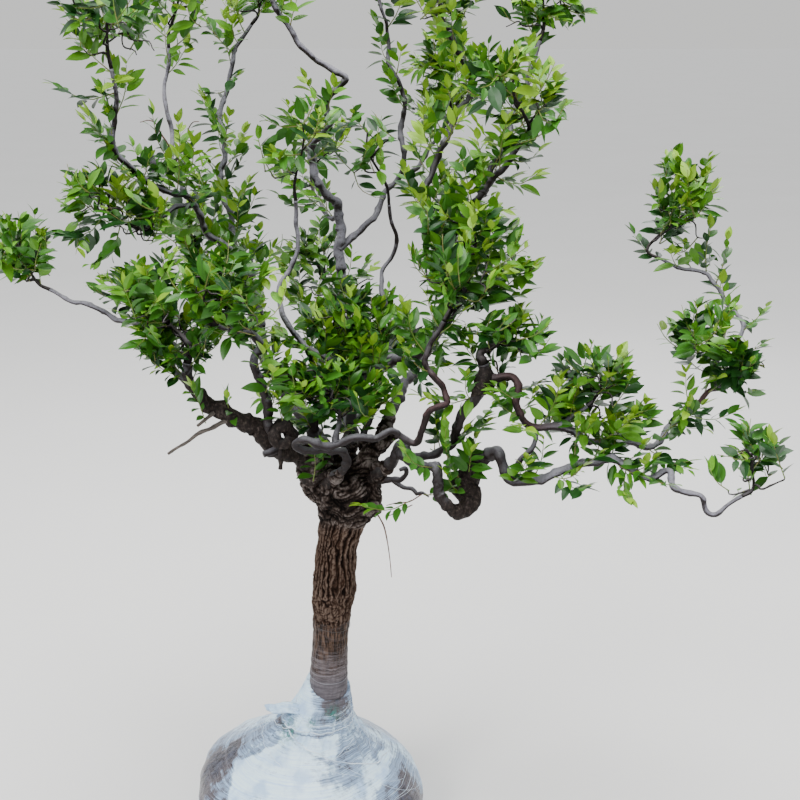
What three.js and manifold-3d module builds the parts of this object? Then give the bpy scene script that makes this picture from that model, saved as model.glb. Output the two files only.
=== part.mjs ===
// A grafted corkscrew tree, lifted for planting. Its root ball is bound in clear film that is drawn up
// round the foot of the trunk. The trunk ends in a swollen graft head, from which twisted boughs rise
// and spread to separate masses of leaves.
// Millimetres, +Z up, the viewer's side is -Y. The origin is the middle of the ball's flat underside.
import * as THREE from "three";
import { mergeVertices } from "three/addons/utils/BufferGeometryUtils.js";
import Module from "manifold-3d";

const wasm = await Module();
wasm.setup();

// Clearance between two pieces that touch.
const GAP = 0.3;

// Root ball: [height, radius, how far its middle lies to +X], from the flat underside to the neck round
// the trunk. Its lobes fade out between two heights.
const BALL_SIDES = 20;
const BALL_OUTLINE = [
  [0, 158, 0], [22, 186, 0], [60, 205, -2], [105, 209, -9], [145, 192, -15], [175, 152, -12],
  [200, 118, -7], [225, 89, 2], [245, 70, 11], [270, 57, 20], [296, 47, 27], [322, 39, 33],
];
const BALL_LOBES = [[3, 0.022, 0.6], [5, 0.014, 2.1]];
const LOBE_FADE = [150, 245];

// Film wound up the trunk above the neck.
const SLEEVE = { from: 322.5, to: 448, wall: 2.6, span: 400 };

// Trunk: the middle of each level from its flat foot inside the ball to the graft head.
const TRUNK_SIDES = 12;
const TRUNK_STEP = 42;
const TRUNK_PATH = [
  [31, 0, 272], [35, 0, 360], [41, 0, 455], [48, 0, 532], [53, 0, 595], [66, 0, 655], [74, 0, 700],
];
const TRUNK_RADII = [34, 33, 31.5, 30, 33.5, 38, 35.5, 34, 44, 46];

// Graft head: swellings fused on the trunk, as centre and half sizes, and the longest of the cut stubs.
const HEAD = [
  { at: [75, -6, 690], half: [59, 53, 62] },
  { at: [20, -10, 718], half: [29, 28, 35] },
  { at: [108, -4, 722], half: [26, 32, 38] },
  { at: [70, 26, 726], half: [36, 30, 30] },
];
const HEAD_GRID = [9, 6];
const RIGHT_STUB = {
  path: [[104, 0, 712], [111, 2, 755], [135, 5, 781], [155, 8, 797]],
  radii: [27, 21, 16, 11],
  sides: 8,
  step: 26,
};

// Every bough: how far apart its rings are and how many sides it has. From the radius "thick" on it has
// more sides and is knotty. It winds round its course like a corkscrew: how far out, the length of one
// turn, and the share of its length at both ends over which the winding fades.
const BOUGH = { step: 40, sides: 5, wind: 4, turn: 130, fade: 0.2, thick: 9, thickSides: 6, knots: 0.07 };

// Boughs: what each grows from, where, its radii from foot to tip, and the bends that its course passes.
// Where it grows from another bough, the place is a share of that bough's length.
const BOUGHS = {
  left_low: {
    from: "trunk", at: [25, -8, 735], radii: [26, 20, 17, 13, 9], wind: 2,
    bends: [[-8, -20, 773], [-36, -42, 790], [-69, -56, 816], [-100, -66, 844], [-147, -76, 877],
      [-188, -76, 912], [-186, -80, 950]],
  },
  dead_twig: {
    from: "left_low", at: 0.6, radii: [5, 4, 2.5], wind: 1,
    bends: [[-158, -88, 834], [-186, -94, 821], [-222, -104, 798]],
  },
  left_rise: {
    from: "left_low", at: 0.3, radii: [10, 7],
    bends: [[-52, -76, 845], [-70, -104, 958], [-58, -112, 988], [-125, -132, 1026]],
  },
  far_left: {
    from: "left_low", at: 0.86, radii: [7.5, 4],
    bends: [[-218, -54, 944], [-282, -22, 1010], [-318, -12, 1008], [-430, 18, 1052]],
  },
  front_coil: {
    from: "trunk", at: [36, -34, 716], radii: [11, 7, 8, 7, 6.5, 6, 5], step: 26, wind: 1,
    bends: [[57, -60, 747], [76, -78, 780], [62, -90, 798], [13, -104, 804], [-10, -118, 818], [9, -131, 833],
      [57, -132, 821], [100, -126, 836], [122, -122, 831], [150, -114, 845], [192, -118, 824],
      [214, -132, 880], [244, -132, 897], [204, -120, 962], [236, -110, 1026]],
  },
  front_low: { from: "front_coil", at: 0.42, radii: [6, 5], bends: [[62, -118, 840], [64, -100, 852]] },
  leader: {
    from: "trunk", at: [46, 18, 726], radii: [13, 10, 5.5],
    bends: [[10, 30, 804], [65, -2, 888], [190, -48, 958], [276, -62, 1084], [246, -54, 1134],
      [350, -62, 1296]],
  },
  centre_left: {
    from: "leader", at: 0.25, radii: [6.5, 4],
    bends: [[44, -12, 942], [-28, -2, 986], [-36, 10, 1050], [-10, 28, 1110], [-10, 28, 1202]],
  },
  inner: {
    from: "leader", at: 0.4, radii: [10, 5, 3.5],
    bends: [[134, 30, 974], [138, 100, 1076], [154, 102, 1100], [146, 92, 1186]],
  },
  right_tall: {
    from: "leader", at: 0.67, radii: [7, 6.5, 7],
    bends: [[210, 44, 1205], [250, 92, 1314], [288, 126, 1390], [248, 148, 1473]],
  },
  right_crest: {
    from: "leader", at: 0.88, radii: [6.5, 4.5],
    bends: [[336, -8, 1304], [355, 16, 1348], [394, 58, 1459]],
  },
  right_rise: {
    from: "trunk", at: [112, -22, 722], radii: [13, 12, 8, 8, 9, 10, 11], step: 26, wind: 1,
    bends: [[150, -52, 770], [166, -66, 800], [184, -75, 786], [214, -82, 788], [244, -94, 808],
      [262, -104, 848], [272, -110, 880], [306, -124, 932], [300, -124, 958]],
  },
  right_loop: {
    from: "right_rise", at: 0.93, radii: [7.5, 7, 4.5],
    bends: [[346, -141, 938], [356, -152, 900], [382, -150, 864], [436, -142, 850], [550, -100, 812],
      [598, -80, 814], [668, -42, 872], [742, 0, 898]],
  },
  right_spur: { from: "right_loop", at: 0.32, radii: [5, 4], bends: [[448, -128, 874], [470, -122, 886]] },
  far_right_top: {
    from: "right_loop", at: 0.93, radii: [5.5, 3.5],
    bends: [[719, 34, 924], [766, 74, 980], [728, 116, 1038], [636, 150, 1079]],
  },
  right_low: {
    from: "right_rise", at: 0.3, radii: [9, 9, 9, 10, 11, 18, 24, 16, 10], step: 22, wind: 0,
    bends: [[182, -90, 777], [204, -108, 780], [221, -120, 778], [226, -131, 760], [232, -134, 733],
      [246, -132, 714], [266, -126, 704], [284, -104, 716], [276, -84, 742], [286, -80, 762],
      [318, -98, 800]],
  },
  right_reach: {
    from: "right_low", at: 0.98, radii: [10, 7.5, 4], step: 28, wind: 2,
    bends: [[330, -112, 806], [342, -130, 762], [396, -144, 770], [508, -152, 806], [574, -160, 776],
      [596, -168, 788], [604, -178, 768], [650, -188, 756], [664, -190, 726], [716, -190, 756]],
  },
  back_left: {
    from: "trunk", at: [52, 38, 716], radii: [13, 8],
    bends: [[4, 92, 786], [-60, 128, 858], [-100, 158, 1010], [-106, 152, 1080]],
  },
  left_sweep: {
    from: "back_left", at: 0.97, radii: [7.5, 6, 4],
    bends: [[-163, 90, 1137], [-201, 40, 1211], [-265, -14, 1244], [-290, -50, 1310], [-279, -70, 1389],
      [-283, -76, 1420]],
  },
  left_fork: { from: "left_sweep", at: 0.36, radii: [5, 4], bends: [[-225, 30, 1183], [-247, -2, 1167]] },
  left_spire: {
    from: "left_sweep", at: 0.42, radii: [5.5, 3.5],
    bends: [[-228, 108, 1286], [-237, 140, 1389], [-231, 150, 1445]],
  },
  left_tall: {
    from: "back_left", at: 0.93, radii: [7.5, 6, 4], wind: 7,
    bends: [[-144, 200, 1134], [-160, 240, 1258], [-152, 266, 1350], [-138, 282, 1428], [-104, 292, 1483]],
  },
  back_left_spur: { from: "back_left", at: 0.66, radii: [7, 5], bends: [[-132, 204, 952], [-180, 262, 990]] },
  centre_tall: {
    from: "trunk", at: [68, 28, 728], radii: [13, 9, 5],
    bends: [[80, 74, 820], [60, 124, 1010], [58, 132, 1150], [10, 112, 1272], [48, 92, 1332], [40, 82, 1364],
      [72, 72, 1396], [-4, 58, 1456], [-52, 50, 1546]],
  },
  centre_right: {
    from: "centre_tall", at: 0.42, radii: [7, 5.5, 3.5], wind: 6,
    bends: [[112, 154, 1151], [172, 190, 1256], [164, 212, 1360], [128, 238, 1527]],
  },
  back_top_spur: { from: "centre_tall", at: 0.49, radii: [6, 4], bends: [[42, 190, 1148], [16, 252, 1172]] },
  back_high: { from: "centre_right", at: 0.35, radii: [5, 4], bends: [[194, 214, 1236], [246, 300, 1300]] },
  centre_low: { from: "trunk", at: [96, 18, 730], radii: [9, 5], bends: [[112, 52, 840], [104, 50, 884]] },
  back_right: {
    from: "trunk", at: [132, 6, 782], radii: [13, 7],
    bends: [[166, 120, 846], [206, 196, 880], [272, 336, 1004]],
  },
  back_low: {
    from: "trunk", at: [70, 34, 716], radii: [12, 6],
    bends: [[72, 116, 748], [48, 240, 826], [24, 356, 926]],
  },
};

// Masses of leaves: the bough whose tip carries each, the middle of its space and its half sizes.
const MASSES = {
  left: { on: "left_low", at: [-236, -64, 1036], half: [126, 108, 114] },
  left_front: { on: "left_rise", at: [-112, -166, 1082], half: [104, 96, 88] },
  far_left: { on: "far_left", at: [-476, 24, 1118], half: [84, 90, 84] },
  left_upper: { on: "left_fork", at: [-307, -40, 1193], half: [104, 96, 100] },
  top_left: { on: "left_sweep", at: [-284, -84, 1490], half: [98, 96, 88] },
  left_spire: { on: "left_spire", at: [-212, 152, 1520], half: [72, 80, 86] },
  left_tall: { on: "left_tall", at: [-100, 296, 1565], half: [90, 92, 84] },
  centre_left: { on: "centre_left", at: [6, 16, 1298], half: [84, 86, 100] },
  centre_tall: { on: "centre_tall", at: [-60, 46, 1610], half: [86, 84, 64] },
  inner: { on: "inner", at: [110, 72, 1282], half: [74, 78, 96] },
  centre_right: { on: "centre_right", at: [118, 244, 1599], half: [86, 84, 80] },
  right_tall: { on: "right_tall", at: [233, 156, 1559], half: [90, 90, 86] },
  right_crest: { on: "right_crest", at: [397, 64, 1539], half: [98, 94, 88] },
  leader: { on: "leader", at: [337, -130, 1387], half: [92, 90, 92] },
  right_column: { on: "front_coil", at: [284, -112, 1130], half: [108, 100, 118] },
  right_knob: { on: "right_rise", at: [338, -134, 1004], half: [94, 88, 72] },
  right_spread: { on: "right_spur", at: [492, -114, 914], half: [116, 98, 86] },
  far_right: { on: "right_loop", at: [686, -34, 964], half: [110, 98, 96] },
  far_right_top: { on: "far_right_top", at: [685, 168, 1175], half: [104, 100, 118] },
  far_right_low: { on: "right_reach", at: [728, -188, 818], half: [76, 78, 72] },
  centre_low: { on: "centre_low", at: [74, 60, 982], half: [134, 94, 102] },
  front_low: { on: "front_low", at: [48, -92, 906], half: [120, 78, 64] },
  back_right: { on: "back_right", at: [286, 372, 1104], half: [122, 114, 112] },
  back_low: { on: "back_low", at: [14, 402, 1018], half: [124, 108, 108] },
  back_left: { on: "back_left_spur", at: [-226, 312, 1076], half: [116, 106, 108] },
  back_top: { on: "back_top_spur", at: [-4, 310, 1266], half: [108, 104, 106] },
  back_high: { on: "back_high", at: [262, 330, 1390], half: [108, 104, 104] },
};

// Stem of a mass: its radii, how far it runs on in its bough's direction, how far it rises past the middle
// of its space as a share of the half height, and its leaves as [share of its length, lean to the side].
const STEM = { radii: [3, 2], onward: 0.3, rise: 0.3, leaves: [[0.98, 0.2], [0.8, -1.15], [0.38, 1.15]] };

// Twigs of a mass: how many, over which part of the stem, their reach as a share of the half sizes, how
// far each rises in turn, and its leaves like those of the stem.
const TWIG = {
  count: 5, from: 0.45, over: 0.5, radii: [2, 1.4], reach: 0.36, rise: [-0.5, 0.1, 0.6, -0.1, 0.9],
  leaves: [[0.95, 0.1], [0.5, 1.15], [0.75, -1.15]],
};
const GOLDEN_ANGLE = (137.5 * Math.PI) / 180;
const SEED = 3;

// Leaf: the height of its fold, where it is widest, and how far the midribs of two leaves stay apart.
const LEAF = { length: 88, width: 38, fold: 2.8, widest: 0.4, apart: 20 };

// A twig or leaf that doesn't fit is tried again at each smaller share of its size.
const SHARES = [1, 0.9, 0.8, 0.7, 0.6];

// Places on a leaf that must be free: the share of its length, and of its half width there.
const LEAF_GRID = [
  [0.15, 0.35], [0.27, 0.65], [0.4, 1], [0.52, 0.8], [0.64, 0.6], [0.76, 0.4], [0.88, 0.2], [1, 0],
];
const MIDRIB_PLACES = [0.45, 0.7, 1];

// How far leaves and twigs stay from limbs, how far apart the places tested on a limb are, and how much
// nearer to the middle of its own space than to any other a place must be.
const CLEAR = { limb: 3.5, spacing: 8, space: 0.04 };

const COLOURS = {
  film: { color: 0xc9d0d6, roughness: 0.28, metalness: 0 },
  oldBark: { color: 0x54463a, roughness: 0.95, metalness: 0 },
  smoothBark: { color: 0x6d6a6c, roughness: 0.7, metalness: 0 },
  deadWood: { color: 0x8d8378, roughness: 0.85, metalness: 0 },
  leaf: { color: 0x4f8a24, roughness: 0.45, metalness: 0 },
};

const material = Object.fromEntries(
  Object.entries(COLOURS).map(([name, look]) => [name, new THREE.MeshStandardMaterial(look)]),
);

// A closed geometry as a solid that can be cut and joined.
function solidOf(geometry) {
  const bare = geometry.clone();
  bare.deleteAttribute("normal");
  bare.deleteAttribute("uv");
  const merged = mergeVertices(bare, 1e-4);
  return new wasm.Manifold(
    new wasm.Mesh({
      numProp: 3,
      vertProperties: merged.attributes.position.array,
      triVerts: new Uint32Array(merged.index.array),
    }),
  );
}

// The largest closed body of a solid, with loose scraps dropped and sealed hollows filled.
function mainBody(solid) {
  return solid.decompose().reduce((best, body) => (body.volume() > best.volume() ? body : best));
}

function meshOf(solid, name, look) {
  const { vertProperties, triVerts } = mainBody(solid).getMesh();
  const geometry = new THREE.BufferGeometry()
    .setAttribute("position", new THREE.BufferAttribute(vertProperties, 3))
    .setIndex(new THREE.BufferAttribute(triVerts, 1));
  geometry.computeVertexNormals();
  const mesh = new THREE.Mesh(geometry, look);
  mesh.name = name;
  return mesh;
}

// A closed skin over rings of points that all have the same count, from the first ring to the last.
function skin(rings) {
  const sides = rings[0].length;
  const points = rings.flat();
  const faces = [];
  rings.slice(1).forEach((_, level) => {
    for (let i = 0; i < sides; i++) {
      const a = level * sides + i;
      const b = level * sides + ((i + 1) % sides);
      faces.push(a, b, b + sides, a, b + sides, a + sides);
    }
  });
  const last = (rings.length - 1) * sides;
  for (let i = 1; i < sides - 1; i++) {
    faces.push(0, i + 1, i, last, last + i, last + i + 1);
  }
  return new THREE.BufferGeometry().setFromPoints(points).setIndex(faces);
}

// The value at a share of the way from 0 to 1 through a list of values.
function along(values, share) {
  const place = share * (values.length - 1);
  const low = Math.min(Math.floor(place), values.length - 2);
  return THREE.MathUtils.lerp(values[low], values[low + 1], place - low);
}

const smoothCurve = (points) => new THREE.CatmullRomCurve3(points, false, "centripetal");
const pointsOf = (places) => places.map((place) => new THREE.Vector3(...place));

// A course with a corkscrew wave on it, which fades out at both ends.
class WoundCurve extends THREE.Curve {
  constructor(course, reach, phase) {
    super();
    Object.assign(this, { course, reach, phase, turns: course.getLength() / BOUGH.turn });
  }

  getPoint(t) {
    const fade = Math.min(1, t / BOUGH.fade, (1 - t) / BOUGH.fade);
    const angle = 2 * Math.PI * this.turns * t + this.phase;
    const wave = new THREE.Vector3(Math.sin(angle), Math.cos(angle), Math.sin(angle));
    return this.course.getPointAt(t).addScaledVector(wave, this.reach * fade);
  }
}

// A round limb of changing radius along a curve, grown by extra on every side. Knots swell some rings.
function limb({ curve, radii, sides, step, extra = 0, knots = 0 }) {
  const steps = Math.max(1, Math.round(curve.getLength() / step));
  const { normals, binormals } = curve.computeFrenetFrames(steps);
  const rings = normals.map((normal, i) => {
    const share = i / steps;
    const swell = 1 + knots * Math.sin(i * 2.3) * Math.sin(Math.PI * share);
    const radius = along(radii, share) * swell + extra;
    const past = i === 0 ? -extra : i === steps ? extra : 0;
    const centre = curve.getPointAt(share).addScaledVector(curve.getTangentAt(share), past);
    return Array.from({ length: sides }, (_, k) => {
      const turn = (k / sides) * 2 * Math.PI;
      return centre
        .clone()
        .addScaledVector(normal, radius * Math.cos(turn))
        .addScaledVector(binormals[i], radius * Math.sin(turn));
    });
  });
  return solidOf(skin(rings));
}

function swelling({ at, half }, extra) {
  const ball = new THREE.SphereGeometry(1, ...HEAD_GRID);
  ball.scale(...half.map((size) => size + extra));
  ball.translate(...at);
  return solidOf(ball);
}

// The trunk's tube, grown by extra on every side.
function trunkTube(extra) {
  const curve = smoothCurve(pointsOf(TRUNK_PATH));
  return limb({ curve, radii: TRUNK_RADII, sides: TRUNK_SIDES, step: TRUNK_STEP, extra });
}

function trunkSolid(extra) {
  const stub = limb({ ...RIGHT_STUB, curve: smoothCurve(pointsOf(RIGHT_STUB.path)), extra });
  return HEAD.reduce((whole, lump) => whole.add(swelling(lump, extra)), trunkTube(extra).add(stub));
}

// How far the ball bulges in a direction, as a share of its radius.
function bulge(turn) {
  return BALL_LOBES.reduce((sum, [count, size, phase]) => sum + size * Math.sin(count * turn + phase), 0);
}

// The root ball, drawn in round the trunk's foot at its neck.
function ballSolid() {
  const rings = BALL_OUTLINE.map(([z, radius, middle]) => {
    const lobed = 1 - THREE.MathUtils.smoothstep(z, ...LOBE_FADE);
    return Array.from({ length: BALL_SIDES }, (_, k) => {
      const turn = (k / BALL_SIDES) * 2 * Math.PI;
      const r = radius * (1 + bulge(turn) * lobed);
      return new THREE.Vector3(middle + r * Math.cos(turn), r * Math.sin(turn), z);
    });
  });
  return solidOf(skin(rings)).subtract(trunkSolid(GAP));
}

// The film on the trunk: a skin over the trunk's own rings between two levels.
function sleeveSolid() {
  const { from, to, wall, span } = SLEEVE;
  const level = new THREE.BoxGeometry(span, span, to - from).translate(0, 0, (from + to) / 2);
  return trunkTube(wall).intersect(solidOf(level)).subtract(trunkTube(GAP));
}

// The curve of each bough. One that grows from another starts on that one's own curve.
const curves = {};
Object.entries(BOUGHS).forEach(([name, { from, at, bends, wind = BOUGH.wind }], order) => {
  const foot = from === "trunk" ? new THREE.Vector3(...at) : curves[from].getPointAt(at);
  curves[name] = new WoundCurve(smoothCurve([foot, ...pointsOf(bends)]), wind, order);
});

function boughLimb(name, extra = 0) {
  const { radii, step = BOUGH.step } = BOUGHS[name];
  const thick = Math.max(...radii) > BOUGH.thick;
  const sides = thick ? BOUGH.thickSides : BOUGH.sides;
  return limb({ curve: curves[name], radii, sides, step, extra, knots: thick ? BOUGH.knots : 0 });
}

// A bough, with its foot cut to fit the trunk or limb that it grows from.
function boughSolid(name) {
  const { from } = BOUGHS[name];
  return boughLimb(name).subtract(from === "trunk" ? trunkSolid(GAP) : boughLimb(from, GAP));
}

// Repeatable numbers from 0 to 1.
function seeded(seed) {
  let state = seed * 7919 + 17;
  return () => {
    state = (state * 48271) % 2147483647;
    return state / 2147483647;
  };
}

// How far a point is from the middle of a mass's space, where 1 is its edge.
function depthIn({ at, half }, point) {
  return Math.hypot(...["x", "y", "z"].map((axis, i) => (point[axis] - at[i]) / half[i]));
}

// The stem of a mass: on from its bough's tip, through the middle of its space and up.
function stemOf({ on, at, half }) {
  const tip = curves[on].getPointAt(1);
  const heading = curves[on].getTangentAt(1);
  const middle = new THREE.Vector3(...at);
  const shoulder = tip.clone().addScaledVector(heading, tip.distanceTo(middle) * STEM.onward);
  const end = middle.clone().add(new THREE.Vector3(0, 0, half[2] * STEM.rise));
  return smoothCurve([tip, shoulder, middle, end]);
}

// Places along a limb with the radius there, which twigs and leaves keep clear of. The owner is the mass
// that the limb is the stem of, if any.
function placesOn(curve, radii, owner) {
  const count = Math.ceil(curve.getLength() / CLEAR.spacing);
  return Array.from({ length: count + 1 }, (_, i) => ({
    owner,
    point: curve.getPointAt(i / count),
    radius: along(radii, i / count),
  }));
}

const stems = Object.fromEntries(Object.entries(MASSES).map(([name, mass]) => [name, stemOf(mass)]));
const obstacles = [
  ...Object.entries(curves).flatMap(([name, curve]) => placesOn(curve, BOUGHS[name].radii, null)),
  ...Object.entries(stems).flatMap(([name, stem]) => placesOn(stem, STEM.radii, name)),
];

// Whether points lie in their mass's own space and clear of every limb and of other stems.
function isFree(name, points) {
  const others = Object.keys(MASSES).filter((other) => other !== name);
  return points.every((point) => {
    const own = depthIn(MASSES[name], point);
    return own < 1
      && others.every((other) => depthIn(MASSES[other], point) > own + CLEAR.space)
      && obstacles.every((o) => o.owner === name || o.point.distanceTo(point) > o.radius + CLEAR.limb);
  });
}

// The largest version of a twig or leaf that fits in its mass, if any does.
function firstFit(name, make) {
  return SHARES.map(make).find((piece) => isFree(name, piece.reaches));
}

// A three-sided twig along a curve, in a number of steps.
function twigSolid(curve, radii, steps) {
  return limb({ curve, radii, sides: 3, step: curve.getLength() / steps });
}

// A leaf folded along its midrib: four faces between the midrib's two ends and its two edges.
function leaf(root, direction, up, size) {
  const side = new THREE.Vector3().crossVectors(up, direction).normalize();
  const face = new THREE.Vector3().crossVectors(direction, side).normalize();
  const length = LEAF.length * size;
  const half = (LEAF.width / 2) * size;
  const waist = LEAF.widest * length;
  const spot = (forward, across = 0, over = 0) =>
    root
      .clone()
      .addScaledVector(direction, forward)
      .addScaledVector(side, across)
      .addScaledVector(face, over);
  const corners = [root, spot(length), spot(waist, half, LEAF.fold), spot(waist, -half, LEAF.fold)];
  const faces = [0, 1, 3, 0, 2, 1, 0, 3, 2, 1, 2, 3];
  return {
    reaches: LEAF_GRID.flatMap(([share, wide]) => {
      return [-wide, 0, wide].map((across) => spot(length * share, half * across));
    }),
    midrib: MIDRIB_PLACES.map((share) => spot(length * share)),
    solid: solidOf(new THREE.BufferGeometry().setFromPoints(corners).setIndex(faces)),
  };
}

// A leaf on a twig, at a share of the twig's length, that leans out to one side. It keeps clear of the
// leaves that are there.
function leafOn(name, twig, [share, lean], random, others) {
  const root = twig.getPointAt(share);
  const direction = twig.getTangentAt(share);
  const side = new THREE.Vector3().crossVectors(direction, new THREE.Vector3(0.1, 0.1, 1)).normalize();
  direction.addScaledVector(side, lean);
  direction.z += random() - 0.4;
  direction.normalize();
  const up = new THREE.Vector3(random() - 0.5, random() - 0.7, 0.9).normalize();
  const grown = firstFit(name, (size) => leaf(root, direction, up, size));
  const isNear = (point) => others.some((other) => other.distanceTo(point) < LEAF.apart);
  if (!grown || grown.midrib.some(isNear)) return [];
  others.push(...grown.midrib);
  return [grown.solid];
}

// A mass: twigs turn round the stem by the golden angle and droop or rise in turn. Each ends in a leaf
// and has two more that lean out on its sides, and so does the stem.
function massSolid(name, order) {
  const { on, half } = MASSES[name];
  const random = seeded(order + SEED);
  const stem = stems[name];
  const others = [];
  const dress = (twig, leaves, hand) =>
    leaves.flatMap(([share, lean]) => leafOn(name, twig, [share, lean * hand], random, others));
  const parts = [twigSolid(stem, STEM.radii, 4), ...dress(stem, STEM.leaves, 1)];
  for (let k = 0; k < TWIG.count; k++) {
    const foot = stem.getPointAt(TWIG.from + (TWIG.over * k) / TWIG.count);
    const turn = k * GOLDEN_ANGLE + random();
    const outward = new THREE.Vector3(Math.cos(turn), Math.sin(turn), TWIG.rise[k % TWIG.rise.length]);
    outward.multiply(new THREE.Vector3(...half));
    const found = firstFit(name, (size) => {
      const curve = new THREE.LineCurve3(foot, foot.clone().addScaledVector(outward, TWIG.reach * size));
      return { curve, reaches: curve.getSpacedPoints(3).slice(1) };
    });
    if (!found) continue;
    parts.push(twigSolid(found.curve, TWIG.radii, 1), ...dress(found.curve, TWIG.leaves, k % 2 ? 1 : -1));
  }
  return parts.reduce((whole, part) => whole.add(part)).subtract(boughLimb(on, GAP));
}

const plant = new THREE.Group();
plant.add(meshOf(ballSolid(), "root_ball", material.film));
plant.add(meshOf(sleeveSolid(), "film_sleeve", material.film));
plant.add(meshOf(trunkSolid(0), "trunk", material.oldBark));
Object.keys(BOUGHS).forEach((name) => {
  const look = name === "dead_twig" ? material.deadWood : material.smoothBark;
  plant.add(meshOf(boughSolid(name), name === "dead_twig" ? name : "bough_" + name, look));
});
Object.keys(MASSES).forEach((name, order) => {
  plant.add(meshOf(massSolid(name, order), "leaves_" + name, material.leaf));
});

export default plant;
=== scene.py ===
"""Looks of a grafted corkscrew sapling with its root ball bound in clear film.

Sizes and places are in millimetres, as in the frame's own design, and are turned into metres when a
piece is made. The limbs follow the courses of the solids that they stand for, with small kinks, and each
mass of leaves grows by the same rule, carried on to finer twigs, shoots and single leaves.
"""

import math

import bpy
import numpy as np
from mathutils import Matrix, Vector, kdtree, noise


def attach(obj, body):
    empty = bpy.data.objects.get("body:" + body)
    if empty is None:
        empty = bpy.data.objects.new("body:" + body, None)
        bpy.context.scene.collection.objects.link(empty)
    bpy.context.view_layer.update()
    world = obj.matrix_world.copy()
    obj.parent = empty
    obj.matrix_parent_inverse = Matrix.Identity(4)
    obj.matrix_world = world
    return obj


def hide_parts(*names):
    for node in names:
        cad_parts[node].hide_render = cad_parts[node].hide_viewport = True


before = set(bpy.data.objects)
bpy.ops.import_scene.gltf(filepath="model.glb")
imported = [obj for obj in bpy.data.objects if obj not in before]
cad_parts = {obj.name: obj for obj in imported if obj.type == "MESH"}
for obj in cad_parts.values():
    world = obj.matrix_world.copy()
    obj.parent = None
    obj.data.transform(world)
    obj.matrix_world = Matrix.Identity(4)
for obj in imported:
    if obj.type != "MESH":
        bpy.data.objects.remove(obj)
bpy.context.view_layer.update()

MM = 0.001

# Root ball: (height, radius, how far its middle lies to +X), its lobes as (number round it, size, phase),
# and the heights over which they fade. Grids: points round a skin and rings from foot to top.
BALL_OUTLINE = [
    (0, 158, 0), (22, 186, 0), (60, 205, -2), (105, 209, -9), (145, 192, -15), (175, 152, -12),
    (200, 118, -7), (225, 89, 2), (245, 70, 11), (270, 57, 20), (296, 47, 27), (322, 39, 33),
]
BALL_LOBES = [(3, 0.022, 0.6), (5, 0.014, 2.1)]
LOBE_FADE = (150, 245)
SLEEVE = {"from": 300, "to": 448, "wall": 2.6}
BALL_GRID = (320, 190)
SLEEVE_GRID = (200, 130)

# Strings and edges of the film wound round the ball: height on its axis, lean to the side and to the front,
# thickness, and the turns between which each lies, in degrees, with -90 at the front. Those on the trunk:
# height, lean to the side and thickness.
THREADS = [
    (250, 0, 0, 1.1, -165, 0), (228, -0.38, 0, 1.2, -138, -5), (283, -0.1, 0.3, 0.7, -200, 60),
    (216, 0.16, -0.05, 0.4, -95, 30), (204, 0.3, 0.05, 0.4, -80, 20), (228, 0.5, 0.02, 0.4, -75, 25),
    (160, -0.08, 0.04, 0.3, -130, 175), (122, 0.06, -0.03, 0.3, -180, 175), (78, -0.04, 0.03, 0.3, -180, 175),
    (252, 0.2, -0.1, 0.6, 60, 230), (206, -0.2, 0.1, 0.5, 40, 250),
]
SLEEVE_THREADS = [(336, -0.05, 0.7), (351, 0.1, 0.3), (362, -0.12, 0.3), (378, 0.08, 0.25), (440, -0.16, 0.6)]

# Fine strings at random on the right shoulder and all round the neck: how many, their heights and thickness.
STRINGS = {"count": 22, "heights": (186, 290), "size": 0.23}

# How the film's upper rim on the trunk's foot rises: all round, to the side and to the front.
RIM = {"from": 250, "up": -7.5, "side": -9.5, "front": 17.5}

# How uneven the film on the ball is: the heights over which it hangs loose, how deep its pleats and folds are
# there, and its wrinkles, lumps and dents elsewhere.
PLEATS = {"from": 170, "over": 150, "deep": 3.4, "folds": 2.2, "wrinkles": 1.3, "lumps": 7, "dents": 1.8}

# How many layers of film lie on the front, and the patches where fewer do: by how much, then the ramps that bound
# each, as the weights of x, z and a ragged edge in a sum, and the sums where the ramp starts and ends.
LAYERS = 0.9
THIN_PATCHES = [
    (0.66, (-1, 0, 1, 132, 144)), (0.12, (-1, 0, 0, 160, 172)),
    (0.42, (1, 0, 2, 108, 150)), (0.38, (1, 0, 0.5, 152, 172)),
    (0.42, (1, 0, 0.5, 44, 58), (0, 1, 2, 170, 200)),
    (0.3, (-1, 0, 0, 18, 34), (0, 1, 0, 236, 244), (0, -1, 0, -284, -270)),
    (0.34, (1, 0, 1, -4, 12), (-1, 0, 0, -58, -46), (0, 1, 0, 240, 252)),
    (0.34, (1, 0, 0.5, 14, 26), (0.5, 1, 0, 283, 303)),
]

# Small spots with fewer or more layers: by how much, their middle in x and z, and their half sizes.
THIN_SPOTS = [(0.2, 35, 192, 16, 20), (-0.45, 131, 171, 14, 9)]

# Spots where the green net of the soil shows through the film, with their sizes.
NET_SPOTS = [((-38, -52, 243), 20), ((-44, -36, 258), 16), ((42, -44, 276), 13), ((4, -56, 266), 10)]

# The loose end of the film, as pairs of upper and lower places from its tip to its root.
FLAP = [((-86, -16, 279), (-80, -24, 272)), ((-66, -22, 284), (-62, -34, 272)), ((-42, -20, 288), (-38, -36, 274)),
        ((-22, -22, 284), (-20, -38, 272))]

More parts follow.
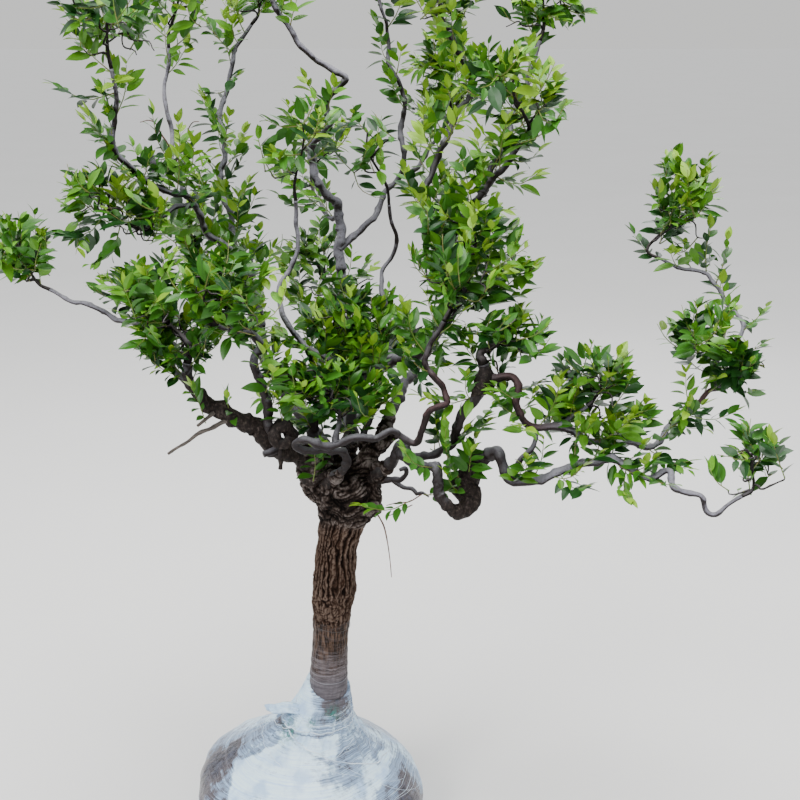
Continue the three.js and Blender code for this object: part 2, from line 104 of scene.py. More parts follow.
# Trunk and graft head, whose lumps are ellipsoids given by middle and half sizes, and the stub of a cut limb.
TRUNK_PATH = [(31, 0, 272), (35, 0, 360), (41, 0, 455), (48, 0, 532), (53, 0, 595), (66, 0, 655), (74, 0, 700)]
TRUNK_RADII = [34, 33, 31.5, 30, 33.5, 38, 35.5, 34, 44, 46]
HEAD = [
    ((75, -6, 690), (59, 53, 62)),
    ((20, -10, 718), (29, 28, 35)),
    ((108, -4, 722), (26, 32, 38)),
    ((70, 26, 726), (36, 30, 30)),
]
RIGHT_STUB = {"path": [(104, 0, 712), (111, 2, 755), (135, 5, 781), (155, 8, 797)], "radii": [27, 21, 16, 11]}

# The skin that is drawn round trunk, head and the feet of the boughs: the size of its cells, how often it is
# smoothed, and how far up a bough it reaches.
SKIN = {"cell": 1.7, "smooth": 5, "foot": 60}

# Fissures of the old bark: how many run up the trunk, coarse and fine, and how far they wander; and the heights
# between which the bark is worn.
FISSURES = {"coarse": 11, "fine": 23, "wander": 3.4, "worn": (446, 516)}

# Relief of the skin: where the head starts, over how much and how ragged; how high the trunk's plates are and how
# much less the head's; the relief that leaves the skin in place; how uneven the trunk and how large the head's
# lumps are; and the share that the film on the trunk takes off, and how far it presses the bark in.
RELIEF = {"from": 628, "over": 22, "ragged": 14, "plates": 5.6, "less": 1.2, "level": 0.55, "uneven": 2.8,
          "lumps": 9, "flat": 0.75, "pressed": 1.5}

# Boughs: millimetres between the points of their courses and to a turn of their corkscrew waves, the share of
# length over which these fade out at each end, and the kinks' size, spacing and fading in millimetres.
BOUGH = {"step": 5, "turn": 130, "fade": 0.2, "kink": 3.0, "kinks_apart": 30, "kinks_fade": 50}


def limb(grows_from, at, radii, bends, wind=4, leafy=((0.4, 1, 26),)):
    """A bough: what it grows from, the place or share of length where it does, and its radii from foot to tip.

    bends are the points that its course passes, wind is the reach of its corkscrew wave, and leafy gives the
    stretches of its length that carry tufts of leaves, each as start, end and millimetres between tufts.
    """
    return {"from": grows_from, "at": at, "radii": radii, "bends": bends, "wind": wind, "leafy": leafy}


BOUGHS = {
    "left_low": limb("trunk", (25, -8, 735), [26, 20, 17, 13, 9], [(-8, -20, 773), (-36, -42, 790), (-69, -56, 816),
        (-100, -66, 844), (-147, -76, 877), (-188, -76, 912), (-186, -80, 950)], wind=2, leafy=[(0.88, 1, 13)]),
    "dead_twig": limb("left_low", 0.6, [5, 4, 2.5], [(-158, -88, 834), (-186, -94, 821), (-222, -104, 798)], wind=1,
        leafy=[]),
    "left_rise": limb("left_low", 0.3, [10, 7], [(-52, -76, 845), (-70, -104, 958), (-58, -112, 988),
        (-125, -132, 1026)], leafy=[(0.22, 1, 13)]),
    "far_left": limb("left_low", 0.86, [7.5, 4], [(-218, -54, 944), (-282, -22, 1010), (-318, -12, 1008),
        (-430, 18, 1052)], leafy=[(0.02, 0.42, 15)]),
    "front_coil": limb("trunk", (36, -34, 716), [11, 7, 8, 7, 6.5, 6, 5], [(57, -60, 747), (76, -78, 780),
        (62, -90, 798), (13, -104, 804), (-10, -118, 818), (9, -131, 833), (57, -132, 821), (100, -126, 836),
        (122, -122, 831), (150, -114, 845), (192, -118, 824), (214, -132, 880), (244, -132, 897), (204, -120, 962),
        (236, -110, 1026)], wind=1, leafy=[(0.84, 1, 16)]),
    "front_low": limb("front_coil", 0.42, [6, 5], [(62, -118, 840), (64, -100, 852)]),
    "leader": limb("trunk", (46, 18, 726), [13, 10, 5.5], [(10, 30, 804), (65, -2, 888), (190, -48, 958),
        (276, -62, 1084), (246, -54, 1134), (350, -62, 1296)], leafy=[(0.06, 1, 12)]),
    "centre_left": limb("leader", 0.25, [6.5, 4], [(44, -12, 942), (-28, -2, 986), (-36, 10, 1050), (-10, 28, 1110),
        (-10, 28, 1202)], leafy=[(0.02, 0.3, 13)]),
    "inner": limb("leader", 0.4, [10, 5, 3.5], [(134, 30, 974), (138, 100, 1076), (154, 102, 1100),
        (146, 92, 1186)], leafy=[(0.02, 0.25, 14)]),
    "right_tall": limb("leader", 0.67, [7, 6.5, 7], [(210, 44, 1205), (250, 92, 1314), (288, 126, 1390),
        (248, 148, 1473)], leafy=[(0.1, 1, 14)]),
    "right_crest": limb("leader", 0.88, [6.5, 4.5], [(336, -8, 1304), (355, 16, 1348), (394, 58, 1459)],
        leafy=[(0.05, 1, 15)]),
    "right_rise": limb("trunk", (112, -22, 722), [13, 12, 8, 8, 9, 10, 11], [(150, -52, 770), (166, -66, 800),
        (184, -75, 786), (214, -82, 788), (244, -94, 808), (262, -104, 848), (272, -110, 880), (306, -124, 932),
        (300, -124, 958)], wind=1, leafy=[(0.46, 0.54, 14), (0.8, 1, 17)]),
    "right_loop": limb("right_rise", 0.93, [7.5, 7, 4.5], [(346, -141, 938), (356, -152, 900), (382, -150, 864),
        (436, -142, 850), (550, -100, 812), (598, -80, 814), (668, -42, 872), (742, 0, 898)],
        leafy=[(0.12, 0.5, 9), (0.5, 1, 14)]),
    "right_spur": limb("right_loop", 0.32, [5, 4], [(448, -128, 874), (470, -122, 886)]),
    "far_right_top": limb("right_loop", 0.93, [5.5, 3.5], [(719, 34, 924), (766, 74, 980), (728, 116, 1038),
        (636, 150, 1079)]),
    "right_low": limb("right_rise", 0.3, [9, 9, 9, 10, 11, 18, 24, 16, 10], [(182, -90, 777), (204, -108, 780),
        (221, -120, 778), (226, -131, 760), (232, -134, 733), (246, -132, 714), (266, -126, 704), (284, -104, 716),
        (276, -84, 742), (286, -80, 762), (318, -98, 800)], wind=0, leafy=[(0.26, 0.3, 16)]),
    "right_reach": limb("right_low", 0.98, [10, 7.5, 4], [(330, -112, 806), (342, -130, 762), (396, -144, 770),
        (508, -152, 806), (574, -160, 776), (596, -168, 788), (604, -178, 768), (650, -188, 756), (664, -190, 726),
        (716, -190, 756)], wind=2, leafy=[(0.16, 0.62, 15)]),
    "back_left": limb("trunk", (52, 38, 716), [13, 8], [(4, 92, 786), (-60, 128, 858), (-100, 158, 1010),
        (-106, 152, 1080)], leafy=[(0.45, 1, 30)]),
    "left_sweep": limb("back_left", 0.97, [7.5, 6, 4], [(-163, 90, 1137), (-201, 40, 1211), (-265, -14, 1244),
        (-290, -50, 1310), (-279, -70, 1389), (-283, -76, 1420)], leafy=[(0.04, 0.62, 13), (0.66, 1, 15)]),
    "left_fork": limb("left_sweep", 0.36, [5, 4], [(-225, 30, 1183), (-247, -2, 1167)]),
    "left_spire": limb("left_sweep", 0.42, [5.5, 3.5], [(-228, 108, 1286), (-237, 140, 1389), (-231, 150, 1445)],
        leafy=[(0.0, 0.36, 13), (0.84, 1, 20)]),
    "left_tall": limb("back_left", 0.93, [7.5, 6, 4], [(-144, 200, 1134), (-160, 240, 1258), (-152, 266, 1350),
        (-138, 282, 1428), (-104, 292, 1483)], wind=7, leafy=[(0.0, 0.62, 14), (0.74, 1, 22)]),
    "back_left_spur": limb("back_left", 0.66, [7, 5], [(-132, 204, 952), (-180, 262, 990)]),
    "centre_tall": limb("trunk", (68, 28, 728), [13, 9, 5], [(80, 74, 820), (60, 124, 1010), (58, 132, 1150),
        (10, 112, 1272), (48, 92, 1332), (40, 82, 1364), (72, 72, 1396), (-4, 58, 1456), (-52, 50, 1546)],
        leafy=[(0.05, 0.2, 14), (0.68, 0.73, 15), (0.92, 1, 24)]),
    "centre_right": limb("centre_tall", 0.42, [7, 5.5, 3.5], [(112, 154, 1151), (172, 190, 1256), (164, 212, 1360),
        (128, 238, 1527)], wind=6, leafy=[(0.6, 1, 30)]),
    "back_top_spur": limb("centre_tall", 0.49, [6, 4], [(42, 190, 1148), (16, 252, 1172)]),
    "back_high": limb("centre_right", 0.35, [5, 4], [(194, 214, 1236), (246, 300, 1300)]),
    "centre_low": limb("trunk", (96, 18, 730), [9, 5], [(112, 52, 840), (104, 50, 884)]),
    "back_right": limb("trunk", (132, 6, 782), [13, 7], [(166, 120, 846), (206, 196, 880), (272, 336, 1004)],
        leafy=[(0.4, 1, 30)]),
    "back_low": limb("trunk", (70, 34, 716), [12, 6], [(72, 116, 748), (48, 240, 826), (24, 356, 926)],
        leafy=[(0.4, 1, 30)]),
}

# Stretches of boughs with rough old bark and with red-brown bark, as shares of their lengths.
OLD_STRETCHES = {"left_low": (0, 0.9), "right_low": (0.42, 0.94)}
RUSSET_STRETCHES = {"front_coil": [(0.64, 0.88)], "right_loop": [(0, 0.3), (0.78, 0.96)]}

# Points round a bough and millimetres between its rings, and above which radius a bough is thick.
DETAIL = {"old": (26, 2.6), "thick": (16, 3.4), "thin": (11, 3.8)}
THICK = 9

# A limb's girth as a share of its solid's, how long its collar is in radii, how far apart its knots are and how they
# turn round it in golden angles, and how uneven it is.
LIMB = {"girth": 0.82, "collar": 1.4, "knots_apart": 24, "knots_turn": 1.37, "uneven": 0.2}

# Cut stubs, spurs and bare twigs on the boughs: kind of bark, radii and course.
SPURS = [
    ("old", [15, 15, 14, 12, 9], [(-18, -58, 813), (-30, -72, 838), (-45, -77, 829), (-42, -80, 811),
     (-26, -80, 809), (-20, -76, 820)]),
    ("old", [5.5, 5, 4.6], [(-34, -72, 813), (-36, -82, 788), (-37, -82, 764)]),
    ("smooth", [9, 8, 7], [(-38, -56, 794), (-53, -72, 791), (-65, -79, 789)]),
    ("dead", [5, 4, 3.2], [(-142, -76, 866), (-157, -90, 856), (-172, -98, 845)]),
    ("smooth", [9, 7, 6, 5, 4], [(128, -30, 724), (155, -50, 733), (167, -62, 738), (176, -70, 752),
     (174, -76, 763), (164, -76, 760)]),
    ("smooth", [5.5, 5, 4.5, 4], [(152, -50, 732), (172, -64, 724), (186, -74, 725), (195, -80, 717)]),
    ("smooth", [3.6, 3, 2], [(193, -80, 718), (203, -84, 722), (214, -90, 717)]),
    ("russet", [1.9, 1.5, 1.2, 0.8], [(124, -30, 664), (136, -44, 647), (142, -50, 624), (147, -50, 587),
     (150, -48, 550)]),
    ("russet", [1.6, 1.3, 0.9], [(203, -84, 720), (180, -80, 704), (160, -74, 700), (142, -66, 692)]),
    ("russet", [1.3, 1.1, 0.8], [(186, -84, 700), (166, -80, 688), (146, -74, 676)]),
    ("smooth", [8, 6.5, 5.5, 6, 5, 4.5], [(350, -146, 768), (355, -150, 790), (362, -152, 806), (380, -150, 824),
     (386, -146, 840), (388, -140, 855)]),
    ("old", [8, 16, 21, 20, 11], [(286, -117, 902), (294, -121, 914), (301, -125, 928), (303, -126, 942),
     (301, -125, 954)]),
    ("smooth", [6, 5.5, 5], [(-242, 14, 1256), (-243, 12, 1270), (-244, 10, 1280)]),
    ("smooth", [5, 4, 3], [(-241, 14, 1252), (-250, 6, 1244), (-258, 0, 1235)]),
    ("russet", [2.6, 1.9, 1.4, 0.9], [(-226, 108, 1266), (-233, 106, 1288), (-244, 104, 1306), (-250, 102, 1321),
     (-261, 100, 1328), (-277, 98, 1325)]),
    ("russet", [2.4, 1.7, 1.2, 0.8], [(-225, 108, 1252), (-212, 108, 1274), (-200, 106, 1297), (-196, 104, 1314),
     (-187, 102, 1325), (-177, 100, 1326)]),
]

# Small leafy sprigs that grow from old wood: root, direction and number of leaves.
SPRIGS = [((15, -44, 730), (0.05, -0.5, 1), 5), ((182, -80, 706), (-0.8, -0.2, -0.25), 4),
          ((208, -88, 720), (0.9, -0.2, 0.1), 3), ((-30, -76, 842), (-0.2, -0.5, 1), 4),
          ((268, -100, 748), (-0.3, -0.5, 1), 8), ((280, -92, 752), (0.1, -0.4, 1), 9),
          ((262, -110, 736), (-0.6, -0.6, 0.8), 6), ((276, -84, 748), (0.3, 0.2, 1), 8),
          ((-112, -70, 850), (-0.3, -0.4, 0.9), 6), ((-160, -90, 850), (-0.3, -0.5, 0.9), 4),
          ((252, -94, 824), (0.6, 0.5, 0.1), 7), ((262, -100, 846), (0.7, 0.4, -0.3), 6),
          ((30, -30, 742), (0.1, -0.6, 1), 5)]

# Masses of leaves: the bough whose tip carries each, the middle of its space, its half sizes, how full of
# twigs it is and how much lower than elsewhere these reach.
MASSES = {
    "left": ("left_low", (-236, -64, 1036), (126, 108, 114), 1.9, 0.3),
    "left_front": ("left_rise", (-112, -166, 1082), (104, 96, 88), 1.7, 0),
    "far_left": ("far_left", (-476, 24, 1118), (84, 90, 84), 1, 0),
    "left_upper": ("left_fork", (-307, -40, 1193), (104, 96, 100), 1.4, 0),
    "top_left": ("left_sweep", (-284, -84, 1490), (98, 96, 88), 1, 0),
    "left_spire": ("left_spire", (-212, 152, 1520), (72, 80, 86), 1, 0),
    "left_tall": ("left_tall", (-100, 296, 1565), (90, 92, 84), 1, 0),
    "centre_left": ("centre_left", (6, 16, 1298), (84, 86, 100), 0.45, 0),
    "centre_tall": ("centre_tall", (-60, 46, 1610), (86, 84, 64), 1, 0),
    "inner": ("inner", (110, 72, 1282), (74, 78, 96), 0.45, 0),
    "centre_right": ("centre_right", (118, 244, 1599), (86, 84, 80), 1, 0),
    "right_tall": ("right_tall", (233, 156, 1559), (90, 90, 86), 1, 0),
    "right_crest": ("right_crest", (397, 64, 1539), (98, 94, 88), 1, 0),
    "leader": ("leader", (337, -130, 1387), (92, 90, 92), 1, 0),
    "right_column": ("front_coil", (284, -112, 1130), (108, 100, 118), 2.4, 0),
    "right_knob": ("right_rise", (338, -134, 1004), (94, 88, 72), 1.1, 0),
    "right_spread": ("right_spur", (492, -114, 914), (116, 98, 86), 1.2, 0.5),
    "far_right": ("right_loop", (686, -34, 964), (110, 98, 96), 1, 0.4),
    "far_right_top": ("far_right_top", (685, 168, 1175), (104, 100, 118), 1.2, 0),
    "far_right_low": ("right_reach", (728, -188, 818), (76, 78, 72), 1, 0),
    "centre_low": ("centre_low", (74, 60, 982), (134, 94, 102), 2.4, 0),
    "front_low": ("front_low", (48, -92, 906), (120, 78, 64), 3.0, 0),
    "back_right": ("back_right", (286, 372, 1104), (122, 114, 112), 1, 0),
    "back_low": ("back_low", (14, 402, 1018), (124, 108, 108), 1, 0),
    "back_left": ("back_left_spur", (-226, 312, 1076), (116, 106, 108), 1, 0),
    "back_top": ("back_top_spur", (-4, 310, 1266), (108, 104, 106), 0.6, 0),
    "back_high": ("back_high", (262, 330, 1390), (108, 104, 104), 1, 0),
}

# The middles and half sizes of all masses, and which row of these is whose.
ALL_AT = np.array([at for _, at, *_ in MASSES.values()], float)
ALL_HALF = np.array([half for _, _, half, *_ in MASSES.values()], float)
ORDER = {name: i for i, name in enumerate(MASSES)}

# Growth in a mass: its stem, the twigs round it, and the shoots that carry the leaves. SHARES are the lengths
# that are tried one after the other where something is in the way.
STEM = {"onward": 0.3, "rise": 0.3, "tip": 2}
TWIG = {"count": 7, "from": 0.04, "over": 0.94, "radii": [2.3, 1.1], "reach": (0.4, 0.98), "bow": 22,
        "rise": [-0.65, 0.1, 0.55, -0.35, 0.85], "wind": 6, "turn": 50}
SHOOT = {"apart": 20, "lengths": (46, 120), "radii": [1.2, 0.5], "hanging": 0.14}
LEAF = {"lengths": (23, 47), "width": 0.44, "apart": 6.5, "spacing": 8.6, "clear": 1.5}
GOLDEN_ANGLE = math.radians(137.5)
SHARES = [1, 0.8, 0.62]
SEEDS = {"masses": 3, "strings": 5, "sprigs": 77, "tufts": 101}

# Stations along a leaf from its stalk to its tip, as (share of its length, share of its half width).
LEAF_OUTLINE = [(0, 0.05), (0.09, 0.07), (0.2, 0.62), (0.34, 0.92), (0.5, 1), (0.68, 0.84), (0.85, 0.46), (1, 0)]

# Tints of the leaves: colour, roughness and the roll up to which a spray has it. LIGHTER has the tint of its tips.
TINTS = {
    "deep": ((0.009, 0.052, 0.007), 0.36, 0.24),
    "mid": ((0.032, 0.13, 0.008), 0.38, 0.64),
    "fresh": ((0.082, 0.235, 0.009), 0.4, 0.96),
    "young": ((0.19, 0.35, 0.015), 0.44, math.inf),
}
LIGHTER = {"deep": "mid", "mid": "fresh", "fresh": "young", "young": "young"}

# Lamps: place and aim in metres, size, power and colour.
LAMPS = {
    "sky": ((0.2, -0.4, 4.4), (0.1, 0, 0.8), 3.2, 270, (1, 1, 1)),
    "key": ((-2.2, -3.0, 3.6), (0.1, 0, 0.7), 1.6, 130, (1, 1, 1)),
    "rim": ((1.2, 3.2, 2.8), (0.1, 0, 1), 2, 40, (0.96, 0.98, 1)),
}

# Camera: where a hand-held phone was, looking straight at the plant and 16.5 degrees down.
CAMERA = {"place": (0.165, -2.156, 1.5), "down": 16.5, "lens": 58.5, "sensor": 36}


def noise_at(x, y, z):
    """Blender's own noise, from about -1 to 1 and the same at a place in every run."""
    return noise.noise(Vector((x, y, z)))


def turns_round(count):
    """Even steps of a full turn."""
    return np.arange(count) / count * 2 * math.pi


def ring_faces(rings, around, closed=True):
    """Faces of a skin over rings of points, with a face over each end if it is closed."""
    faces = []
    for low in range(0, (rings - 1) * around, around):
        high = low + around
        faces += [(low + i, low + (i + 1) % around, high + (i + 1) % around, high + i) for i in range(around)]
    if closed:
        last = (rings - 1) * around
        faces += [tuple(range(around))[::-1], tuple(range(last, last + around))]
    return faces


class Course:
    """A line through points, read by the share of its length."""

    def __init__(self, points):
        self.points = np.asarray(points, float)
        steps = np.linalg.norm(np.diff(self.points, axis=0), axis=1)
        self.lengths = np.concatenate([[0], np.cumsum(steps)])

    @property
    def length(self):
        return self.lengths[-1]

    def at(self, share):
        place = np.asarray(share) * self.length
        return np.stack([np.interp(place, self.lengths, self.points[:, k]) for k in range(3)], axis=-1)

    def heading(self, share):
        step = self.at(min(share + 0.01, 1)) - self.at(max(share - 0.01, 0))
        return step / np.linalg.norm(step)


def smooth_course(points, per_span=14):
    """A centripetal curve through the points."""
    p = np.asarray(points, float)
    p = np.vstack([2 * p[0] - p[1], p, 2 * p[-1] - p[-2]])
    t = np.linspace(0, 1, per_span, endpoint=False)[:, None]
    spans = []
    for a, b, c, d in zip(p, p[1:], p[2:], p[3:]):
        ab, bc, cd = (math.sqrt(np.linalg.norm(v)) for v in (b - a, c - b, d - c))
        m = (c - b) + bc * ((b - a) / ab - (c - a) / (ab + bc))
        n = (c - b) + bc * ((d - c) / cd - (d - b) / (bc + cd))
        spans.append(b + m * t + (3 * (c - b) - 2 * m - n) * t ** 2 + (2 * (b - c) + m + n) * t ** 3)
    return Course(np.vstack([*spans, p[-2]]))


def wound(course, reach, turn, phase):
    """The course with a corkscrew wave on it, which fades out at both ends."""
    shares = np.linspace(0, 1, max(8, int(course.length / BOUGH["step"])))
    angle = 2 * math.pi * course.length / turn * shares + phase
    height = reach * np.minimum(1, np.minimum(shares, 1 - shares) / BOUGH["fade"])
    wave = np.stack([np.sin(angle), np.cos(angle), np.sin(angle)], axis=-1)
    return Course(course.at(shares) + wave * height[:, None])


def kinked(course, order):
    """The course with small uneven kinks, which fade out at both ends."""
    away = np.linspace(0, course.length, max(8, int(course.length / BOUGH["step"])))
    height = 2 * BOUGH["kink"] * np.minimum(1, np.minimum(away, course.length - away) / BOUGH["kinks_fade"])
    kinks = np.array([[noise_at(a / BOUGH["kinks_apart"], order * 3.7, k) for k in (0.5, 9.5, 18.5)] for a in away])
    return Course(course.at(away / course.length) + kinks * height[:, None])


def along(values, share):
    """The value at a share of the way through evenly spaced ones."""
    return np.interp(share, np.linspace(0, 1, len(values)), values)


def unit(v):
    v = np.asarray(v, float)
    return v / max(np.linalg.norm(v), 1e-9)


def frames_along(centres):
    """Two directions across the line at each of its points, with no twist from one to the next."""
    headings = np.gradient(centres, axis=0)
    headings /= np.linalg.norm(headings, axis=1)[:, None]
    across = unit(np.cross(headings[0], (0.3, 0.9, 0.2)))
    sides = []
    for heading in headings:
        across = unit(across - heading * across.dot(heading))
        sides.append(across)
    sides = np.array(sides)
    return sides, np.cross(headings, sides)


def tube(centres, radii, sides):
    """Points and faces of a closed tube. radii holds one number a ring, or one for each of its points."""
    u, v = frames_along(centres)
    turns = turns_round(sides)
    radii = np.asarray(radii, float).reshape(len(centres), -1, 1)
    ring = np.cos(turns)[None, :, None] * u[:, None] + np.sin(turns)[None, :, None] * v[:, None]
    return (centres[:, None] + ring * radii).reshape(-1, 3), ring_faces(len(centres), sides)


def plain_limb(course, radii, rings, sides):
    """A limb with no bark of its own."""
    shares = np.linspace(0, 1, rings)
    return tube(course.at(shares), along(radii, shares), sides)


class Heap:
    """Points and faces of many shapes that become one piece."""

    def __init__(self):
        self.points, self.faces, self.count = [], [], 0

    def add(self, points, faces):
        self.faces += [tuple(i + self.count for i in face) for face in faces]
        self.points.append(np.asarray(points, float))
        self.count += len(points)

    def mesh(self, name):
        return mesh_of(name, np.vstack(self.points), self.faces)

    def piece(self, name, material, slot, nodes):
        piece_of(name, self.mesh(name), material, slot, nodes)


def mesh_of(name, points, faces):
    mesh = bpy.data.meshes.new(name)
    mesh.from_pydata((np.asarray(points) * MM).tolist(), [], faces)
    mesh.shade_smooth()
    return mesh


def piece_of(name, mesh, material, slot, nodes, **fields):
    """A piece that stands for nodes of the frame. Each field holds one number for each of its points."""
    mesh.materials.clear()
    mesh.materials.append(material)
    for field, values in fields.items():
        mesh.attributes.new(field, "FLOAT", "POINT").data.foreach_set("value", np.asarray(values, np.float32))
    piece = bpy.data.objects.new(name, mesh)
    bpy.context.scene.collection.objects.link(piece)
    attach(piece, "root")
    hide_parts(*nodes)


def read_points(mesh):
    """A mesh's points and normals."""
    found = []
    for kind in ("co", "normal"):
        values = np.zeros(len(mesh.vertices) * 3, np.float32)
        mesh.vertices.foreach_get(kind, values)
        found.append(values.reshape(-1, 3).astype(float))
    return found[0] / MM, found[1]


def seeded(seed):
    """Repeatable numbers from 0 to 1."""
    state = seed * 7919 + 17

    def draw():
        nonlocal state
        state = (state * 48271) % 2147483647
        return state / 2147483647
    return draw


class Nodes:
    """Procedural nodes in one tree."""

    def __init__(self, tree):
        self.tree = tree

    def node(self, kind, settings=None, **inputs):
        node = self.tree.nodes.new(kind)
        for key, value in (settings or {}).items():
            setattr(node, key, value)
        for key, value in inputs.items():
            self.put(node.inputs[key.replace("_", " ")], value)
        return node

    def put(self, socket, value):
        if isinstance(value, bpy.types.NodeSocket):
            self.tree.links.new(value, socket)
        else:
            socket.default_value = value

    def part(self, vector, axis):
        return self.node("ShaderNodeSeparateXYZ", Vector=vector).outputs[axis]

    def mix(self, share, a, b):
        node = self.node("ShaderNodeMix", {"data_type": "RGBA"}, Factor=share)
        for socket, value in ((node.inputs[6], a), (node.inputs[7], b)):
            self.put(socket, (*value, 1) if isinstance(value, tuple) else value)
        return node.outputs[2]


class Shader(Nodes):
    """A material on one shader."""

    def __init__(self, name, **constants):
        self.material = bpy.data.materials.new(name)
        self.material.use_nodes = True
        super().__init__(self.material.node_tree)
        self.surface = self.tree.nodes["Principled BSDF"]
        for socket, value in constants.items():
            self.surface.inputs[socket.replace("_", " ")].default_value = value
        self.place = self.node("ShaderNodeTexCoord").outputs["Object"]

    def noise(self, size, detail=3, rough=0.55, stretch=(1, 1, 1)):
        """Noise whose features are about size millimetres across, and stretch times as long on each axis."""
        scaled = self.node("ShaderNodeMapping", Vector=self.place, Scale=tuple(1 / s for s in stretch))
        return self.node("ShaderNodeTexNoise", Vector=scaled.outputs[0], Scale=1 / (size * MM), Detail=detail,
                         Roughness=rough).outputs["Fac"]

    def ramp(self, value, *stops):
        node = self.node("ShaderNodeValToRGB", Fac=value)
        elements = node.color_ramp.elements
        while len(elements) < len(stops):
            elements.new(0.5)
        for element, (place, shade) in zip(elements, stops):
            element.position = place
            element.color = (*shade, 1) if isinstance(shade, tuple) else (shade, shade, shade, 1)
        return node.outputs["Color"]

    def fade(self, value, start, end, a, b, most=1.0):
        """One colour where a value is low and, at most by a share, another where it is high."""
        return self.mix(self.ramp(value, (start, 0.0), (end, most)), a, b)

    def math(self, operation, a, b, clamp=False):
        node = self.node("ShaderNodeMath", {"operation": operation, "use_clamp": clamp})
        self.put(node.inputs[0], a)
        self.put(node.inputs[1], b)
        return node.outputs[0]

    def add(self, a, b, clamp=False):
        return self.math("ADD", a, b, clamp)

    def times(self, a, b):
        return self.math("MULTIPLY", a, b)

    def swing(self, value, amount, middle=0.5):
        """How far a value is from its middle, made larger or smaller."""
        return self.times(self.math("SUBTRACT", value, middle), amount)

    def field(self, name):
        return self.node("ShaderNodeAttribute", {"attribute_name": name}).outputs["Fac"]

    def between(self, axis, start, end):
        """From 0 to 1 between two places on an axis, in metres."""
        place = self.part(self.place, axis)
        return self.node("ShaderNodeMapRange", Value=place, From_Min=start, From_Max=end).outputs[0]

    def up(self):
        """How far the surface faces up, from 0 to 1."""
        z = self.part(self.node("ShaderNodeNewGeometry").outputs["Normal"], "Z")
        return self.node("ShaderNodeMapRange", Value=z, From_Min=-1).outputs[0]

    def finish(self, colour, roughness, relief, depth=0.4):
        """The material with its colour, roughness and relief, which gives heights and their millimetres."""
        self.put(self.surface.inputs["Base Color"], colour)
        self.put(self.surface.inputs["Roughness"], roughness)
        below = self.surface
        for height, distance in reversed(relief):
            node = self.node("ShaderNodeBump", Height=height, Distance=distance * MM, Strength=depth)
            self.put(below.inputs["Normal"], node.outputs[0])
            below = node
        return self.material


def old_bark():
    """Bark in narrow plates between fissures, with painted shade and highlights. The graft head is greyer than the
    trunk.
    """
    s = Shader("old_bark", Specular_IOR_Level=0.05)
    grain = s.noise(3.2, 5, 0.7, (1, 1, 3))
    height = s.add(s.field("relief"), s.swing(grain, 0.75))
    # Painted shade and light: the ramp over the relief makes the fissures nearly black and the tops of the plates
    # lighter, as highlights.
    bark = s.ramp(height, (0.16, (0.0016, 0.0009, 0.0007)), (0.42, (0.0095, 0.005, 0.0035)),
                  (0.66, (0.036, 0.0205, 0.0145)), (0.96, (0.125, 0.088, 0.068)))
    brown = s.mix(0.5, bark, (0.036, 0.017, 0.0095))
    colour = s.fade(s.noise(48, 3), 0.42, 0.66, bark, brown, most=0.75)
    # The head's ramp likewise paints shade into its hollows and highlights onto its ridges.
    grey = s.ramp(height, (0.2, (0.0018, 0.0013, 0.0011)), (0.5, (0.012, 0.0085, 0.007)),
                  (0.74, (0.036, 0.0275, 0.024)), (1.0, (0.13, 0.112, 0.106)))
    colour = s.mix(s.times(s.field("head"), 0.85), colour, grey)
    return s.finish(colour, s.add(s.times(grain, 0.25), 0.62, True),
                    [(grain, 2.0), (s.noise(1.4, 3), 0.5)], 0.85)


def smooth_bark():
    """Painted light: silver-grey on the lit top with a cool highlight, nearly black in the painted shade below. Aged
    stretches are rough and brown.
    """
    s = Shader("smooth_bark", Specular_IOR_Level=0.18)
    fine = s.noise(5, 4, 0.65)
    blotch = s.noise(26, 3)
    # The top colour is the lighter, cooler young one on limbs high on the left and far out to the right; these also
    # get a wider painted lit strip.
    high = s.between("Z", 0.84, 1.05)
    outer = s.between("X", 0.33, 0.42)
    left = s.between("X", 0.2, 0.08)
    high = s.math("MAXIMUM", s.times(high, left), outer)
    old = s.mix(blotch, (0.032, 0.029, 0.031), (0.088, 0.085, 0.094))
    young = s.mix(blotch, (0.11, 0.104, 0.124), (0.29, 0.283, 0.335))
    top = s.mix(high, old, young)
    top = s.fade(fine, 0.5, 0.66, top, (0.03, 0.021, 0.022), most=0.8)
    # Painted shade: the nearly black colour of the undersides.
    under = s.mix(fine, (0.004, 0.0026, 0.0027), (0.02, 0.0125, 0.013))
    # Painted light: lit grows as the surface faces up, and the ridge ramp over it lays the lit top colour over the
    # painted shade.
    lit = s.add(s.up(), s.swing(fine, 0.5))
    lit = s.add(lit, s.times(high, 0.13))
    ridge = s.ramp(lit, (0.48, 0.0), (0.7, 1.0))
    colour = s.mix(ridge, under, top)
    # Painted highlight: a cool pale sheen along the very top.
    painted_highlight = s.ramp(lit, (0.74, 0.0), (0.95, 0.7))
    colour = s.mix(painted_highlight, colour, (0.19, 0.185, 0.205))
    crust = s.noise(5, 5, 0.72, (1, 1, 1.6))
    rough = s.ramp(crust, (0.36, (0.0025, 0.0016, 0.0013)), (0.53, (0.016, 0.0105, 0.0085)),
                   (0.76, (0.085, 0.066, 0.058)))
    colour = s.mix(s.field("age"), colour, rough)
    # The red-brown stretches are likewise painted lit on top and shaded below.
    colour = s.mix(s.field("russet"), colour, s.mix(ridge, (0.011, 0.005, 0.0052), (0.062, 0.034, 0.036)))
    roughness = s.add(s.times(fine, 0.35), 0.3, True)
    roughness = s.add(roughness, s.times(s.field("age"), 0.3), True)
    return s.finish(colour, roughness, [(s.noise(9, 4, 0.6), 2.2), (s.noise(1.6, 2), 0.25)], 0.6)


def dead_wood():
    s = Shader("dead_wood")
    fine = s.noise(4, 4, 0.6, (4, 4, 1))
    colour = s.ramp(fine, (0.3, (0.026, 0.02, 0.017)), (0.7, (0.12, 0.1, 0.086)))
    return s.finish(colour, 0.85, [(fine, 0.8)])


